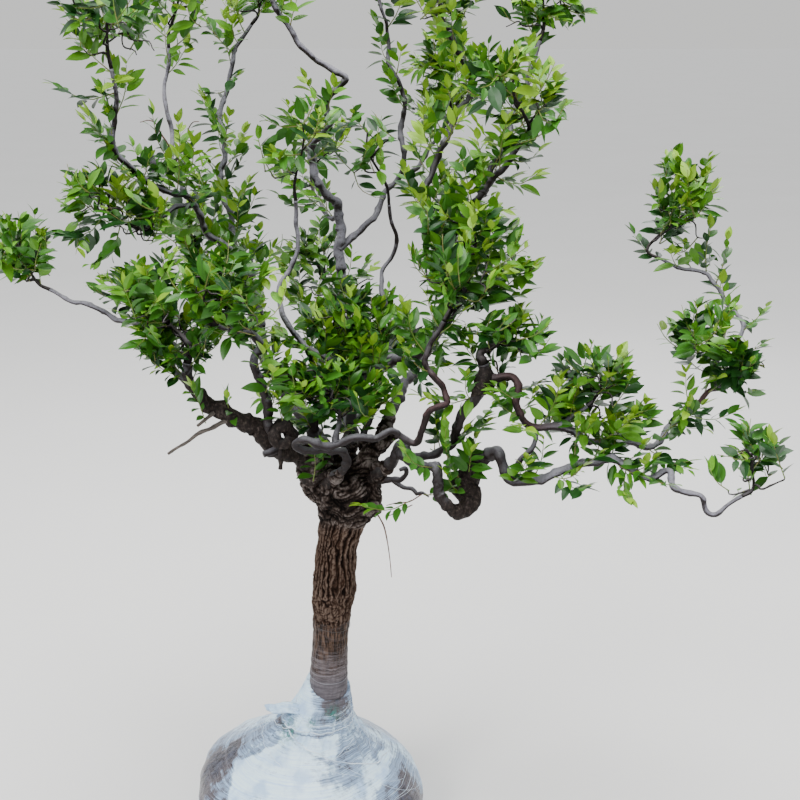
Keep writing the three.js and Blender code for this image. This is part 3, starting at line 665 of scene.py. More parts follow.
def young_twig():
    """Thin twigs in the masses of leaves: brown-grey on top, with painted shade nearly black below."""
    s = Shader("young_twig", Specular_IOR_Level=0.12)
    fine = s.noise(7, 3)
    top = s.fade(s.noise(40, 2), 0.4, 0.6, (0.062, 0.052, 0.05), (0.11, 0.1, 0.106))
    # Painted light and shade: the ridge ramp over how far the surface faces up lays the brown-grey on upper faces
    # and the nearly black on undersides.
    ridge = s.ramp(s.add(s.up(), s.swing(fine, 0.4)), (0.5, 0.0), (0.78, 1.0))
    return s.finish(s.mix(ridge, (0.008, 0.006, 0.005), top), 0.6, [(fine, 0.6)], 0.5)


def green_shoot():
    s = Shader("green_shoot")
    colour = s.ramp(s.noise(26, 2), (0.35, (0.1, 0.19, 0.02)), (0.65, (0.17, 0.15, 0.035)))
    return s.finish(colour, 0.45, [(s.noise(2, 2), 0.2)])


def russet_twig():
    s = Shader("russet_twig")
    colour = s.ramp(s.noise(12, 3), (0.35, (0.04, 0.014, 0.01)), (0.65, (0.12, 0.05, 0.028)))
    return s.finish(colour, 0.5, [(s.noise(2, 2), 0.2)])


def leaf_green(name, colour, roughness):
    s = Shader(name, Specular_IOR_Level=0.35)
    shade = s.mix(s.noise(24, 2), tuple(0.7 * c for c in colour), tuple(min(1, 1.3 * c) for c in colour))
    return s.finish(shade, roughness, [(s.noise(7, 2), 0.5)], 0.35)


def film_on_ball():
    """Clear film over soil: white where many layers lie, with painted glare of the sky in it, blue-grey where few
    do, with fine wound lines.
    """
    s = Shader("film_on_ball", Coat_Weight=0.3, Coat_Roughness=0.1, Specular_IOR_Level=0.2)
    lines = s.noise(1.7, 4, 0.7, (60, 60, 1))
    bands = s.noise(8, 3, 0.6, (13, 13, 1))
    creases = s.noise(19, 6, 0.72)
    streaks = s.add(s.times(lines, 0.5), s.times(bands, 0.5))
    milk = s.add(s.field("milk"), s.swing(creases, 1.0))
    milk = s.add(milk, s.swing(streaks, 0.75))
    soil = s.fade(s.noise(9, 4, 0.7), 0.4, 0.62, (0.012, 0.011, 0.015), (0.085, 0.09, 0.125))
    haze = s.fade(lines, 0.38, 0.64, (0.052, 0.041, 0.046), (0.14, 0.13, 0.152), most=0.85)
    blue = s.fade(lines, 0.36, 0.64, (0.11, 0.158, 0.24), (0.33, 0.455, 0.64))
    # The white is partly the milky colour of many layers and partly painted glare of the sky on the film.
    white = s.fade(lines, 0.3, 0.56, (0.44, 0.66, 0.95), (0.7, 0.9, 1.0))
    white = s.fade(s.noise(42, 3), 0.46, 0.62, white, (0.33, 0.5, 0.76), most=0.75)
    colour = s.fade(milk, 0.02, 0.2, soil, haze)
    colour = s.fade(milk, 0.28, 0.46, colour, blue)
    colour = s.fade(milk, 0.58, 0.8, colour, white)
    stain = s.times(s.field("net"), s.ramp(s.noise(5, 3, 0.6), (0.4, 0.0), (0.56, 1.0)))
    colour = s.mix(stain, colour, (0.035, 0.16, 0.14))
    roughness = s.add(s.times(streaks, 0.4), 0.12, True)
    return s.finish(colour, roughness, [(lines, 0.5), (bands, 1.0), (creases, 4.0)], 0.75)


def film_thread():
    """Edges and strings of the film, where its layers are rolled together."""
    s = Shader("film_thread", Coat_Weight=0.3, Coat_Roughness=0.15)
    sleeve = s.between("Z", 0.32, 0.33)
    colour = s.fade(s.noise(20, 3), 0.35, 0.65, (0.4, 0.5, 0.64), (0.8, 0.92, 1.0))
    high = s.between("Z", 0.345, 0.4)
    colour = s.mix(s.times(sleeve, 0.82), colour, (0.13, 0.11, 0.115))
    colour = s.mix(high, colour, (0.035, 0.024, 0.02))
    return s.finish(colour, 0.35, [(s.noise(3, 2), 0.3)])


def film_on_bark():
    """Film on the trunk: its dark fissures show through near the top, and lower down it turns milky grey."""
    s = Shader("film_on_bark", Coat_Weight=0.06, Coat_Roughness=0.2, Specular_IOR_Level=0.08)
    grain = s.noise(3.2, 4, 0.65, (1, 1, 9))
    streak = s.add(s.times(s.field("relief"), 0.3), s.math("SUBTRACT", s.times(grain, 3.0), 1.16))
    bark = s.ramp(streak, (0.2, (0.004, 0.002, 0.0012)), (0.5, (0.031, 0.0165, 0.01)), (0.95, (0.105, 0.064, 0.043)))
    lines = s.noise(3.6, 5, 0.72, (9, 9, 1))
    milky = s.fade(lines, 0.41, 0.6, (0.034, 0.024, 0.023), (0.162, 0.139, 0.148))
    low = s.between("Z", 0.404, 0.372)
    foot = s.between("Z", 0.352, 0.33)
    veil = s.add(s.times(low, 0.5), s.swing(lines, 0.9, 0.4))
    veil = s.add(veil, s.times(foot, 0.3))
    colour = s.fade(veil, 0.05, 0.7, bark, milky, most=0.97)
    colour = s.mix(s.times(foot, 0.5), colour, (0.105, 0.1, 0.118))
    return s.finish(colour, 0.32, [(lines, 0.9), (s.noise(8, 3), 0.8)], 0.65)


def floor_paint():
    s = Shader("floor_paint")
    colour = s.mix(s.noise(700, 3), (0.71, 0.7, 0.68), (0.76, 0.75, 0.735))
    return s.finish(colour, 0.8, [(s.noise(30, 3), 0.3)], 0.2)


trunk_course = smooth_course(TRUNK_PATH)


def smooth_step(value, low, high):
    share = min(1, max(0, (value - low) / (high - low)))
    return share * share * (3 - 2 * share)


def trunk_middle(z):
    """The trunk's axis and radius at a height."""
    heights = trunk_course.points[:, 2]
    share = np.interp(z, heights, trunk_course.lengths / trunk_course.length)
    return trunk_course.at(share), along(TRUNK_RADII, share)


def furrows(point):
    """Height of the old bark from 0 in a fissure to 1 on a plate, with the fissures along the trunk."""
    x, y, z = point
    turn = math.atan2(y, x)
    side, front = math.cos(turn), math.sin(turn)
    wander = FISSURES["wander"] * noise_at(side * 1.4, front * 1.4, z / 95)
    wander += (0.3 + 1.2 * smooth_step(z, 440, 460)) * noise_at(side * 4, front * 4, z / 17)
    split = min(1, 1.5 * abs(math.sin(FISSURES["coarse"] * turn + wander)))
    split *= 0.45 + 0.55 * min(1, 1.8 * abs(math.sin(FISSURES["fine"] * turn + 1.7 * wander)))
    fine = min(1, abs(noise_at(x / 4 + 9, y / 4, z / 13)) * 4)
    crack = min(1, abs(noise_at(side * 4, front * 4, z / 7 + 5)) * 4.5)
    low, high = FISSURES["worn"]
    worn = smooth_step(z, high, high - 16) * smooth_step(z, low, low + 12)
    plate = 0.55 + 0.25 * fine + 0.2 * crack
    broken = 0.15 + 0.45 * fine + 0.4 * crack
    return split * plate * (1 - 0.75 * worn) + 0.75 * worn * broken


def gnarls(point):
    """Lumps and layered wrinkles of the graft head."""
    x, y, z = point
    lump = noise_at(x / 27 + 3, y / 27, z / 22)
    swirl = 2.6 * noise_at(x / 42, y / 42, z / 42 + 2)
    fold = min(1, abs(noise_at(x / 17 + swirl, y / 17, z / 9 + swirl)) * 3.2)
    pit = min(1, abs(noise_at(x / 5.5, y / 5.5 + swirl, z / 6)) * 3.4)
    return lump, max(0, min(1, 0.65 * fold + 0.35 * pit))


def ellipsoid(at, half, around=28, down=18):
    """A lump, as rings of points between a lowest and a highest one."""
    turns = turns_round(around)
    rings = [np.stack([np.cos(turns) * math.sin(a), np.sin(turns) * math.sin(a), np.full(around, math.cos(a))], 1)
             for a in (np.arange(1, down) / down * math.pi)[::-1]]
    points = np.vstack([*rings, [(0, 0, -1)], [(0, 0, 1)]]) * half + at
    last, bottom, top = (down - 2) * around, len(points) - 2, len(points) - 1
    faces = ring_faces(down - 1, around, closed=False)
    faces += [(bottom, (i + 1) % around, i) for i in range(around)]
    faces += [(top, last + i, last + (i + 1) % around) for i in range(around)]
    return points, faces


def fused(heap):
    """One closed skin round all shapes of a heap."""
    raw = bpy.data.objects.new("raw", heap.mesh("raw"))
    bpy.context.scene.collection.objects.link(raw)
    remesh = raw.modifiers.new("fuse", "REMESH")
    remesh.mode = "VOXEL"
    remesh.voxel_size = SKIN["cell"] * MM
    smooth = raw.modifiers.new("soften", "SMOOTH")
    smooth.factor, smooth.iterations = 0.5, SKIN["smooth"]
    mesh = bpy.data.meshes.new_from_object(raw.evaluated_get(bpy.context.evaluated_depsgraph_get()))
    bpy.data.objects.remove(raw)
    mesh.shade_smooth()
    return mesh


def make_trunk(curves):
    heap = Heap()
    heap.add(*plain_limb(trunk_course, TRUNK_RADII, 60, 40))
    for at, half in HEAD:
        heap.add(*ellipsoid(at, half))
    heap.add(*plain_limb(smooth_course(RIGHT_STUB["path"]), RIGHT_STUB["radii"], 20, 24))
    for name, bough in BOUGHS.items():
        if bough["from"] == "trunk":
            reach = min(1, SKIN["foot"] / curves[name].length)
            centres = curves[name].at(np.linspace(0, reach, 14))
            heap.add(*tube(centres, np.linspace(1.4, 0.7, 14) * bough["radii"][0], 20))
    mesh = fused(heap)
    points, normals = read_points(mesh)
    centres, _ = trunk_middle(points[:, 2])
    relief, heads = np.zeros(len(points)), np.zeros(len(points))
    for i, (point, centre) in enumerate(zip(points, centres)):
        x, y, z = point
        ragged = RELIEF["ragged"] * noise_at(x / 25, y / 25, 4)
        head = heads[i] = min(1, max(0, (z + ragged - RELIEF["from"]) / RELIEF["over"]))
        ridge = furrows((x - centre[0], y - centre[1], z)) if head < 1 else 0
        lump, gnarl = gnarls(point) if head > 0 else (0, 0)
        relief[i] = (1 - head) * ridge + head * (0.9 * gnarl + 0.45 * lump)
        uneven = RELIEF["uneven"] * noise.noise(Vector(point) / 19)
        push = (relief[i] - RELIEF["level"]) * (RELIEF["plates"] - RELIEF["less"] * head)
        push += (1 - head) * uneven
        push += head * lump * RELIEF["lumps"]
        wrapped = smooth_step(z, SLEEVE["to"] + 4, SLEEVE["to"] - 8)
        points[i] += normals[i] * (push * (1 - RELIEF["flat"] * wrapped) - RELIEF["pressed"] * wrapped)
    mesh.vertices.foreach_set("co", (points * MM).ravel().astype(np.float32))
    mesh.update()
    piece_of("trunk_bark", mesh, old_bark(), "old_bark", ["trunk"], relief=relief, head=heads)


def bulge(turn):
    """How far the ball's lobes stand out, as a share of its radius."""
    return sum(size * np.sin(count * turn + phase) for count, size, phase in BALL_LOBES)


def film_skin(name, points, grid, material, slot, node, **fields):
    """A closed piece over rings of points."""
    around, rings = grid
    piece_of(name, mesh_of(name, points, ring_faces(rings, around)), material, slot, [node], **fields)


def ball_place(turn, z, radius, middle):
    """A place on the film round the ball: pleats run down from the neck, and the foot is flat."""
    side, front = math.cos(turn), math.sin(turn)
    lobed = 1 - smooth_step(z, *LOBE_FADE)
    loose = math.sin(math.pi * min(1, max(0, (z - PLEATS["from"]) / PLEATS["over"])))
    foot = min(1, z / 26)
    spot = Vector((side * radius, front * radius, z))
    pleat = 1 - abs(noise_at(side * 4.2, front * 4.2, z / 150)) * 2.6
    fold = 1 - abs(noise_at(side * 9 + 5, front * 9, z / 80)) * 2.4
    push = loose * (PLEATS["deep"] * (pleat - 0.6) + PLEATS["folds"] * (fold - 0.6))
    wrinkle = 1 - abs(noise_at(side * 7 + z / 60, front * 7, z / 34 + 9)) * 3
    push += PLEATS["wrinkles"] * max(0, wrinkle) * foot
    push += noise.noise(spot / 74) * PLEATS["lumps"] * lobed * foot + noise.noise(spot / 27) * PLEATS["dents"] * foot
    r = radius * (1 + bulge(turn) * lobed) + push
    rise = smooth_step(z, RIM["from"], BALL_OUTLINE[-1][0])
    lift = rise * (RIM["up"] + RIM["side"] * side + RIM["front"] * front)
    return middle + r * side, r * front, z + lift


def milk_at(x, y, z, turn):
    """How many layers of film lie at a place, from 0 to 1, less painted shade: many in front, few at both sides and
    behind.
    """
    ragged = 9 * noise_at(x / 30, y / 30, z / 14)
    drift = noise_at(math.cos(turn) * 1.6 + 4, math.sin(turn) * 1.6, z / 110)
    milk = LAYERS + 0.25 * drift
    for less, *ramps in THIN_PATCHES:
        milk -= less * math.prod(smooth_step(x * a + z * b + ragged * c, low, high) for a, b, c, low, high in ramps)
    for less, middle, level, wide, tall in THIN_SPOTS:
        milk -= less * math.exp(-((x - middle) / wide) ** 2 - ((z - level) / tall) ** 2)
    # The left shoulder is thin above the wrap's slanting edge, with painted shade along its fold and a white rim
    # outside.
    above = z + 0.5 * ragged - (182 + max(0, min(1, (x + 146) / 92)) * 46)
    fold = math.exp(-(above / 2.4) ** 2)
    milk -= (0.3 * smooth_step(above, -3, 3) + 0.3 * fold) * smooth_step(-x, 50, 62)
    milk += 0.42 * smooth_step(above, 6, 14) * smooth_step(-x, 124, 138)
    # The two thick strings in front have shadows below them.
    for level, lean, *_ in THREADS[:2]:
        under = z - level - lean * x + 3.5
        milk -= 0.26 * math.exp(-(under / 2.4) ** 2) * smooth_step(-x, -62, -54) * smooth_step(x, -66, -56)
    behind = 0.62 + 0.55 * drift
    share = smooth_step(y, -40, 40)
    return milk * (1 - share) + behind * share


def make_ball():
    around, down = BALL_GRID
    outline = smooth_course([(r, x, z) for z, r, x in BALL_OUTLINE])
    points, milk, net = [], [], []
    for radius, middle, z in outline.at(np.linspace(0, 1, down)):
        for turn in turns_round(around):
            place = ball_place(turn, z, radius, middle)
            points.append(place)
            milk.append(milk_at(*place, turn))
            net.append(max(math.exp(-(math.dist(place, at) / size) ** 2 * 1.2) for at, size in NET_SPOTS))
    film_skin("film_wrap", points, BALL_GRID, film_on_ball(), "wrapped_soil", "root_ball", milk=milk, net=net)
    strings = Heap()
    radii, middles, heights = outline.points.T
    random = seeded(SEEDS["strings"])
    low, high = STRINGS["heights"]
    loose = [(low + (high - low) * random(), 1.1 * (random() - 0.5), 0.5 * (random() - 0.5), STRINGS["size"],
              -100 + 60 * random(), -20 + 60 * random()) for _ in range(STRINGS["count"])]
    for level, lean, tip, size, start, end in THREADS + loose:
        course = []
        for turn in np.radians(np.linspace(start, end, max(12, int((end - start) / 3)))):
            side, front = math.cos(turn), math.sin(turn)
            over = heights - level - lean * (middles + side * radii) - tip * front * radii
            z = np.interp(3 * noise_at(side * 3, front * 3, level), over, heights)
            course.append(ball_place(turn, z, np.interp(z, heights, radii) + 0.3, np.interp(z, heights, middles)))
        strings.add(*tube(np.array(course), np.full(len(course), size), 5))
    strings.piece("film_threads", film_thread(), "film", ["root_ball"])


def make_flap():
    """The loose end of the film at the neck: thin, with a wave in it, and closed on both faces."""
    rows, columns, thickness = 12, 30, 0.35
    upper, lower = (smooth_course(edge).at(np.linspace(0, 1, columns)) for edge in zip(*FLAP))
    front = np.array([upper + (lower - upper) * r for r in np.linspace(0, 1, rows)])
    for i, j in np.ndindex(rows, columns):
        front[i, j] += np.array((0.4, -1, 0.5)) * 4.5 * noise_at(j / 4, i / 3, 0.5)
        front[i, j] += np.array((1.2, 0, 1)) * 3 * (1 - j / columns) * noise_at(i / 1.7, j / 9, 3)
    back = front + (0, thickness * 2, thickness)
    points = np.concatenate([front.reshape(-1, 3), back.reshape(-1, 3)])
    half = rows * columns
    faces = []
    for a in (i * columns + j for i in range(rows - 1) for j in range(columns - 1)):
        quad = (a, a + columns, a + columns + 1, a + 1)
        faces += [quad, tuple(k + half for k in quad[::-1])]
    grid = np.arange(half).reshape(rows, columns)
    rim = [*grid[0], *grid[1:, -1], *grid[-1, -2::-1], *grid[-2:0:-1, 0]]
    faces += [(a, b, b + half, a + half) for a, b in zip(rim, rim[1:] + rim[:1])]
    piece_of("film_flap", mesh_of("film_flap", points, faces), bpy.data.materials["film_on_ball"], "wrapped_soil",
             ["root_ball"], milk=np.full(len(points), 0.95), net=np.zeros(len(points)))


def make_sleeve():
    """Film wound up the trunk, with the bark's ridges showing through, and its strings."""
    around, down = SLEEVE_GRID
    points, relief = [], []
    for z in np.linspace(SLEEVE["from"], SLEEVE["to"], down):
        (cx, cy, _), radius = trunk_middle(z)
        for turn in turns_round(around):
            side, front = math.cos(turn), math.sin(turn)
            bark = furrows((side * radius, front * radius, z))
            loose = noise_at(side * 2, front * 2, z / 14)
            r = radius + SLEEVE["wall"] - 1.2 + 1.6 * (bark - 0.5) + loose * 1.6
            torn = 5 * noise_at(side * 3, front * 3, 7) * smooth_step(z, SLEEVE["to"] - 12, SLEEVE["to"])
            points.append((cx + r * side, cy + r * front, z + torn))
            relief.append(bark)
    film_skin("film_on_trunk", points, SLEEVE_GRID, film_on_bark(), "film", "film_sleeve", relief=relief)
    strings = Heap()
    for level, lean, size in SLEEVE_THREADS:
        (cx, cy, _), radius = trunk_middle(level)
        r = radius + SLEEVE["wall"] - 0.2
        course = []
        for turn in np.linspace(-1.1, 1.1, 60) * math.pi:
            side, front = math.cos(turn), math.sin(turn)
            z = level + lean * side * radius + 0.12 * front * radius + 1.2 * noise_at(side * 2, front * 2, level)
            course.append((cx + r * side, cy + r * front, z))
        strings.add(*tube(np.array(course), np.full(len(course), size * 0.7), 5))
    strings.piece("sleeve_threads", bpy.data.materials["film_thread"], "film", ["film_sleeve"])


def bough_curves():
    curves = {}
    for order, (name, bough) in enumerate(BOUGHS.items()):
        foot = bough["at"] if bough["from"] == "trunk" else curves[bough["from"]].at(bough["at"])
        course = smooth_course([foot, *bough["bends"]])
        curves[name] = kinked(wound(course, bough["wind"], BOUGH["turn"], order), order)
    return curves


def bark_limb(heap, course, radii, sides, step, collar=0.0, knots=0.3, seed=0, rough=0.0):
    """A limb with a collar at its foot, knots where buds were, an uneven girth and rough bark, if any.

    It returns the share of the limb's length at each of its points.
    """
    shares = np.linspace(0, 1, max(3, int(course.length / step)) + 1)
    centres = course.at(shares)
    away = shares * course.length
    girth = LIMB["girth"] * along(radii, shares) * (1 + collar * np.exp(-away / (LIMB["collar"] * radii[0])))
    turns = turns_round(sides)
    rings = np.repeat(girth[:, None], sides, axis=1)
    for k in range(int(course.length / LIMB["knots_apart"])):
        place = (k + 0.5 + 0.8 * noise_at(k, seed, 0)) * LIMB["knots_apart"]
        size = knots * (1 + 1.4 * noise_at(k, seed, 5))
        near = np.exp(-(((away - place) / (0.5 * girth + 1.5)) ** 2))[:, None]
        facing = np.maximum(0, np.cos(turns - k * GOLDEN_ANGLE * LIMB["knots_turn"] - seed))[None, :] ** 3
        rings *= 1 + size * near * (0.3 + 1.2 * facing)
    for i, (x, y, z) in enumerate(centres):
        swell = noise_at(x / 12, y / 12, z / 12)
        for j, turn in enumerate(turns):
            side, front = math.cos(turn), math.sin(turn)
            flute = noise_at(side * 1.1 + seed, front * 1.1, away[i] / 60)
            bark = min(1, abs(noise_at(side * 3, front * 3, away[i] / 11)) * 4.5) if rough else 0
            uneven = 1 + LIMB["uneven"] * swell + LIMB["uneven"] * flute
            rings[i, j] = rings[i, j] * uneven + rough * (bark - 0.6)
    heap.add(*tube(centres, rings, sides))
    return np.repeat(shares, sides)


def within(shares, stretch, blur=0.06):
    """1 inside a stretch of shares and 0 outside it, with soft ends."""
    start, end = stretch
    return np.clip(np.minimum(shares - start + blur, end + blur - shares) / (2 * blur), 0, 1)


def make_boughs(curves):
    """The boughs with their spurs, and the age and redness of their bark at each point."""
    heaps = {bark: Heap() for bark in ("bough", "dead", "russet")}
    age, russet = [], []
    for order, (name, bough) in enumerate(BOUGHS.items()):
        dead, old, curve = name == "dead_twig", name in OLD_STRETCHES, curves[name]
        sides, step = DETAIL["old" if old else "thick" if max(bough["radii"]) > THICK else "thin"]
        shares = bark_limb(heaps["dead" if dead else "bough"], curve, bough["radii"], sides, step,
                           0.35 if bough["from"] == "trunk" else 0.6, seed=order, rough=2.2 if old else 0)
        if not dead:
            foot = np.minimum(1, 1.5 * np.exp(-shares * curve.length / 36)) * (bough["from"] == "trunk")
            age.append(np.maximum(foot, within(shares, OLD_STRETCHES[name]) if old else 0))
            russet.append(sum((within(shares, stretch) for stretch in RUSSET_STRETCHES.get(name, [])), 0 * shares))
    for order, (bark, radii, path) in enumerate(SPURS):
        heap = heaps.get(bark, heaps["bough"])
        slim, old = max(radii) < 3, bark == "old"
        shares = bark_limb(heap, smooth_course(path, 12), radii, 8 if slim else 14, 2.4, seed=order + 40,
                           knots=0.05 if slim else 0.14, rough=1.2 if old else 0)
        if heap is heaps["bough"]:
            age.append(np.full(len(shares), 0.9) if old else 0.9 * np.exp(-shares * 4))
            russet.append(np.zeros(len(shares)))
    nodes = ["bough_" + name for name in BOUGHS if name != "dead_twig"]
    piece_of("boughs_bark", heaps["bough"].mesh("boughs_bark"), smooth_bark(), "smooth_bark", nodes,
             age=np.concatenate(age), russet=np.concatenate(russet))
    heaps["russet"].piece("russet_twigs", russet_twig(), "smooth_bark", nodes)
    heaps["dead"].piece("dead_twig_wood", dead_wood(), "dead_wood", ["dead_twig"])


def stem_of(name, curves):
    """The stem of a mass: on from its bough's tip, through the middle of its space and up."""
    on, middle, half, _, _ = MASSES[name]
    tip = curves[on].at(1)
    shoulder = tip + curves[on].heading(1) * np.linalg.norm(middle - tip) * STEM["onward"]
    return smooth_course([tip, shoulder, middle, np.add(middle, (0, 0, half[2] * STEM["rise"]))])


class Crown:
    """Twigs, shoots and leaves as they grow, and what they keep clear of."""

    def __init__(self, curves):
        self.twigs, self.shoots = Heap(), Heap()
        self.leaves = {tint: [] for tint in TINTS}
        places, self.limb_radii = [], []
        for name, curve in curves.items():
            shares = np.linspace(0, 1, int(curve.length / 6) + 2)
            places += list(curve.at(shares))
            self.limb_radii += list(along(BOUGHS[name]["radii"], shares))
        self.limbs = kdtree.KDTree(len(places))
        for i, place in enumerate(places):
            self.limbs.insert(place, i)
        self.limbs.balance()
        self.taken = set()

    def clear_of_limbs(self, points):
        found = (self.limbs.find(point) for point in points)
        return all(distance >= self.limb_radii[index] + LEAF["clear"] for _, index, distance in found)

    @staticmethod
    def in_space(name, points, edge=1.0):
        """Whether points lie in the mass's own space and nearer to its middle than to any other."""
        if name is None:
            return True
        depth = np.linalg.norm((points[:, None] - ALL_AT) / ALL_HALF, axis=2)
        own = depth[:, ORDER[name]].copy()
        depth[:, ORDER[name]] = np.inf
        return bool((own < edge).all() and (depth.min(axis=1) > own).all())

    def take(self, point):
        """Whether a place is free of other leaves, which it then isn't."""
        cell = tuple((np.asarray(point) // LEAF["apart"]).astype(int))
        if cell in self.taken:
            return False
        self.taken.add(cell)
        return True


def grow_leaf(crown, name, root, direction, up, length, tint, edge):
    """A leaf that fits its space and clears the limbs; leaf_mesh folds it along its midrib and arches it down to its
    tip.
    """
    for size in SHARES:
        tip = root + direction * length * size
        places = [root + (tip - root) * s for s in (0.55, 1)]
        if crown.in_space(name, np.array([tip]), edge) and crown.clear_of_limbs(places):
            break
    else:
        return
    if crown.take(root + (tip - root) * 0.6):
        crown.leaves[tint].append((root, direction, up, length * size))


def grow_shoot(crown, name, root, direction, random, tint, scale=1.0):
    """A green shoot that bends up, with leaves on its two sides by turns and young ones at its tip."""
    low, high = SHOOT["lengths"]
    length = (low + (high - low) * random() ** 1.4) * scale
    edge = 0.84 + 0.22 * random()
    bow = np.array([random() - 0.5, random() - 0.5, 0]) * 0.34
    lift = np.array((0, 0, 0.25 + 0.6 * random()))
    for size in SHARES:
        bend = root + unit(direction + bow) * length * size * 0.5
        end = bend + unit(direction - bow + lift) * length * size * 0.5
        if crown.in_space(name, np.array([bend, end]), edge):
            break
    else:
        return
    course = smooth_course([root - direction * 3, bend, end], 4)
    crown.shoots.add(*plain_limb(course, SHOOT["radii"], 6, 4))
    count = max(2, round(course.length / LEAF["spacing"]))
    across = unit(np.cross(direction, (random() - 0.5, random() - 0.5, 0.5)))
    short, long = LEAF["lengths"]
    light = LIGHTER[tint]
    for k in range(count):
        share = 0.1 + 0.84 * (k + random() * 0.6) / count
        heading = course.heading(share)
        side = across * (1 if k % 2 else -1)
        out = unit(heading * (0.4 + 0.6 * share) + side * (1 - 0.35 * share) + (0, 0, 0.25 * (random() - 0.35)))
        up = unit(np.cross(out, np.cross((0, 0, 1), out)) + 1.7 * np.array([random() - 0.5, random() - 0.55, 0]))
        size = short + (long - short) * random()
        size *= 0.72 + 0.36 * math.sin(math.pi * min(1, share + 0.1))
        grow_leaf(crown, name, course.at(share), out, up, size * scale ** 0.4, light if share > 0.72 else tint, edge)
    for side in (-0.35, 0.4):
        out = unit(course.heading(0.95) + across * side + (0, 0, 0.2))
        up = unit(np.cross(out, np.cross((0.1, 0.2, 1), out)))
        grow_leaf(crown, name, course.at(1), out, up, 20 + 12 * random(), "young" if random() < 0.6 else light, edge)


def pick_tint(random, height):
    """A spray's tint: more young ones high in the crown."""
    roll = random() + 0.12 * (height - 1150) / 400
    return next(tint for tint, (_, _, most) in TINTS.items() if roll < most)


def grow_tufts(crown, name, course, shares, random, shoots, scale=1.0, radius=2.0):
    """Tufts of shoots at places along a limb, each with about so many shoots."""
    for k, share in enumerate(shares):
        root, heading = course.at(share), course.heading(share)
        tint = pick_tint(random, root[2])
        number = int(shoots + random())
        first = random() * 2 * math.pi
        side = unit(np.cross(heading, (0.2, 0.3, 0.9)))
        over = np.cross(heading, side)
        for j in range(number):
            turn = first + k * GOLDEN_ANGLE + j * 2.1
            out = side * math.cos(turn) + over * math.sin(turn)
            out[2] = -0.5 if random() < SHOOT["hanging"] else out[2] * 0.5 + 0.3 + 0.8 * random()
            direction = unit(out + heading * (0.2 + 0.4 * random()))
            grow_shoot(crown, name, root + direction * radius * 0.5, direction, random, tint, scale)


def grow_mass(crown, name, curves, order):
    """A mass: twigs turn round its stem by the golden angle and droop or rise in turn, and bear shoots."""
    on, _, half, full, sink = MASSES[name]
    random = seeded(order + SEEDS["masses"])
    stem = stem_of(name, curves)
    start = BOUGHS[on]["radii"][-1]
    bark_limb(crown.twigs, stem, [start * 0.96, max(2.6, start * 0.5), STEM["tip"]], 8, 5, seed=order)
    shares = np.arange(0.16, 1, SHOOT["apart"] / stem.length)
    grow_tufts(crown, name, stem, shares, random, 0.8)
    grow_tufts(crown, name, stem, [0.99], random, 2.0)
    count = round(TWIG["count"] * full)
    for k in range(count):
        foot = stem.at(TWIG["from"] + TWIG["over"] * k / count)
        turn = k * GOLDEN_ANGLE + random()
        rise = TWIG["rise"][k % len(TWIG["rise"])] - sink
        outward = np.array([math.cos(turn), math.sin(turn), rise]) * half
        near, far = TWIG["reach"]
        reach = near + (far - near) * random()
        for size in SHARES:
            end = foot + outward * reach * size
            if crown.in_space(name, np.array([end])) and crown.clear_of_limbs([end]):
                break
        else:
            continue
        bend = (foot + end) / 2 + np.array([random() - 0.5, random() - 0.5, random() - 0.2]) * TWIG["bow"]
        course = wound(smooth_course([foot, bend, end], 8), TWIG["wind"], TWIG["turn"], k)
        bark_limb(crown.twigs, course, TWIG["radii"], 6, 6, 0.3, seed=k)
        shares = np.arange(0.3, 0.97, SHOOT["apart"] / course.length)
        grow_tufts(crown, name, course, shares, random, 0.8)
        grow_tufts(crown, name, course, [0.98], random, 1.5)


def make_crown(curves):
    crown = Crown(curves)
    for order, name in enumerate(MASSES):
        grow_mass(crown, name, curves, order)
    for order, (name, bough) in enumerate(BOUGHS.items()):
        random = seeded(order + SEEDS["tufts"])
        for start, end, apart in bough["leafy"]:
            shares = np.arange(start, end, apart / curves[name].length)
            grow_tufts(crown, None, curves[name], shares, random, 0.9, 0.8, along(bough["radii"], 0.7))
    random = seeded(SEEDS["sprigs"])
    for root, direction, count in SPRIGS:
        grow_shoot(crown, None, np.array(root, float), unit(direction), random, "mid", 0.45 + 0.07 * count)
    masses = ["leaves_" + name for name in MASSES]
    crown.twigs.piece("twigs_bark", young_twig(), "smooth_bark", masses)
    crown.shoots.piece("green_shoots", green_shoot(), "shoot", masses)
    for tint, (colour, roughness, _) in TINTS.items():
        heap = Heap()
        for number, leaf in enumerate(crown.leaves[tint]):
            heap.add(*leaf_mesh(leaf, number))
        name = "leaves_in_" + tint
        heap.piece(name, leaf_green(name, colour, roughness), "leaf", masses)


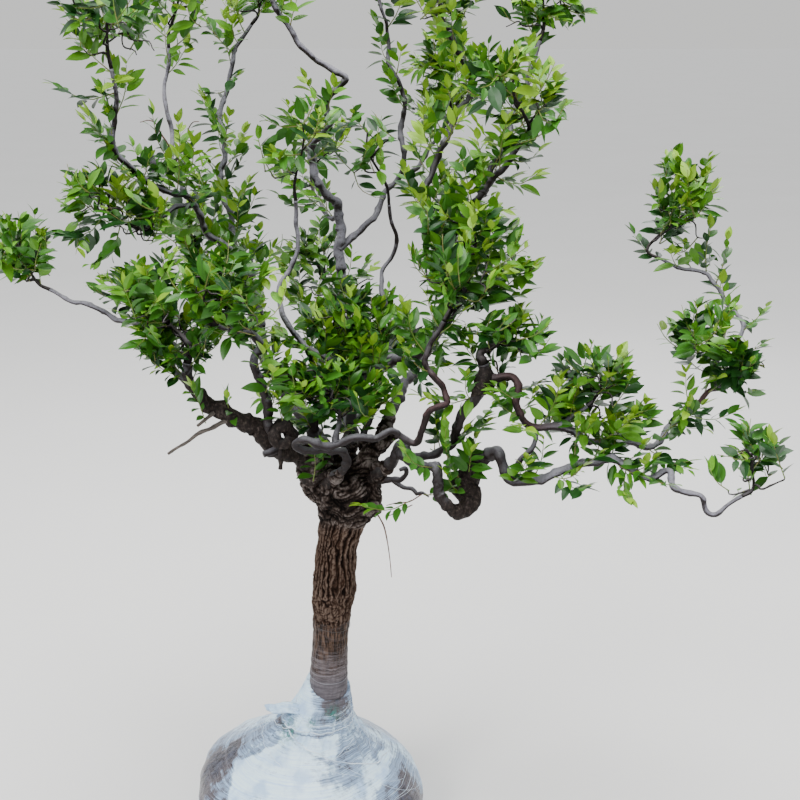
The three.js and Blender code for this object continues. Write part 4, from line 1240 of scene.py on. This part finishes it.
def leaf_mesh(leaf, number):
    """A leaf's two halves, which meet at its midrib."""
    root, direction, up, length = leaf
    side = unit(np.cross(up, direction))
    face = np.cross(direction, side)
    arch = 0.1 + 0.22 * (noise_at(number * 0.37, 1.5, 0) + 0.5)
    fold = 0.2 + 0.3 * noise_at(number * 0.53, 7.5, 0)
    half = length * LEAF["width"] / 2
    share, wide = np.array(LEAF_OUTLINE).T
    wave = 0.05 * np.sin(share * 9 + number)
    middle = root + np.outer(share * length, direction) - np.outer(arch * share ** 2 * length, face)
    points, faces = [], []
    for hand in (1, -1):
        edge = middle + np.outer(hand * wide * half, side) + np.outer(wide * half * (fold + wave * hand), face)
        base = len(points) * len(share) * 2
        points.append(np.stack([middle, edge], axis=1).reshape(-1, 3))
        for k in range(len(share) - 1):
            a, b, c, d = (base + 2 * k, base + 2 * k + 2, base + 2 * k + 3, base + 2 * k + 1)
            quad = (a, b, c, d) if k < len(share) - 2 else (a, b, d)
            faces.append(quad[::hand])
    return np.vstack(points), faces


def area_light(name, place, aim, size, power, colour):
    """A round lamp that faces a point."""
    light = bpy.data.lights.new(name, "AREA")
    light.shape, light.size, light.energy, light.color = "DISK", size, power, colour
    lamp = bpy.data.objects.new(name, light)
    lamp.location = place
    lamp.rotation_euler = (Vector(aim) - Vector(place)).to_track_quat("-Z", "Y").to_euler()
    bpy.context.scene.collection.objects.link(lamp)


def make_stage():
    mesh = bpy.data.meshes.new("floor")
    mesh.from_pydata([(-60, -60, 0), (60, -60, 0), (60, 60, 0), (-60, 60, 0)], [], [(0, 1, 2, 3)])
    mesh.materials.append(floor_paint())
    floor = bpy.data.objects.new("floor", mesh)
    bpy.context.scene.collection.objects.link(floor)
    world = bpy.data.worlds.new("studio")
    world.use_nodes = True
    nodes = Nodes(world.node_tree)
    z = nodes.part(nodes.node("ShaderNodeTexCoord").outputs["Generated"], "Z")
    rise = nodes.node("ShaderNodeMapRange", Value=z, From_Min=0.05, From_Max=0.4).outputs[0]
    background = world.node_tree.nodes["Background"]
    nodes.put(background.inputs["Color"], nodes.mix(rise, (0.7, 0.7, 0.69), (0.96, 0.98, 1)))
    nodes.put(background.inputs["Strength"], 1.15)
    bpy.context.scene.world = world
    for name, (place, aim, size, power, colour) in LAMPS.items():
        area_light(name, place, aim, size, power, colour)


def make_camera():
    data = bpy.data.cameras.new("camera")
    data.lens, data.sensor_width = CAMERA["lens"], CAMERA["sensor"]
    camera = bpy.data.objects.new("camera", data)
    camera.location = CAMERA["place"]
    camera.rotation_euler = (math.radians(90 - CAMERA["down"]), 0, 0)
    bpy.context.scene.collection.objects.link(camera)
    bpy.context.scene.camera = camera


make_camera()
make_stage()
limb_curves = bough_curves()
make_trunk(limb_curves)
make_ball()
make_flap()
make_sleeve()
make_boughs(limb_curves)
make_crown(limb_curves)
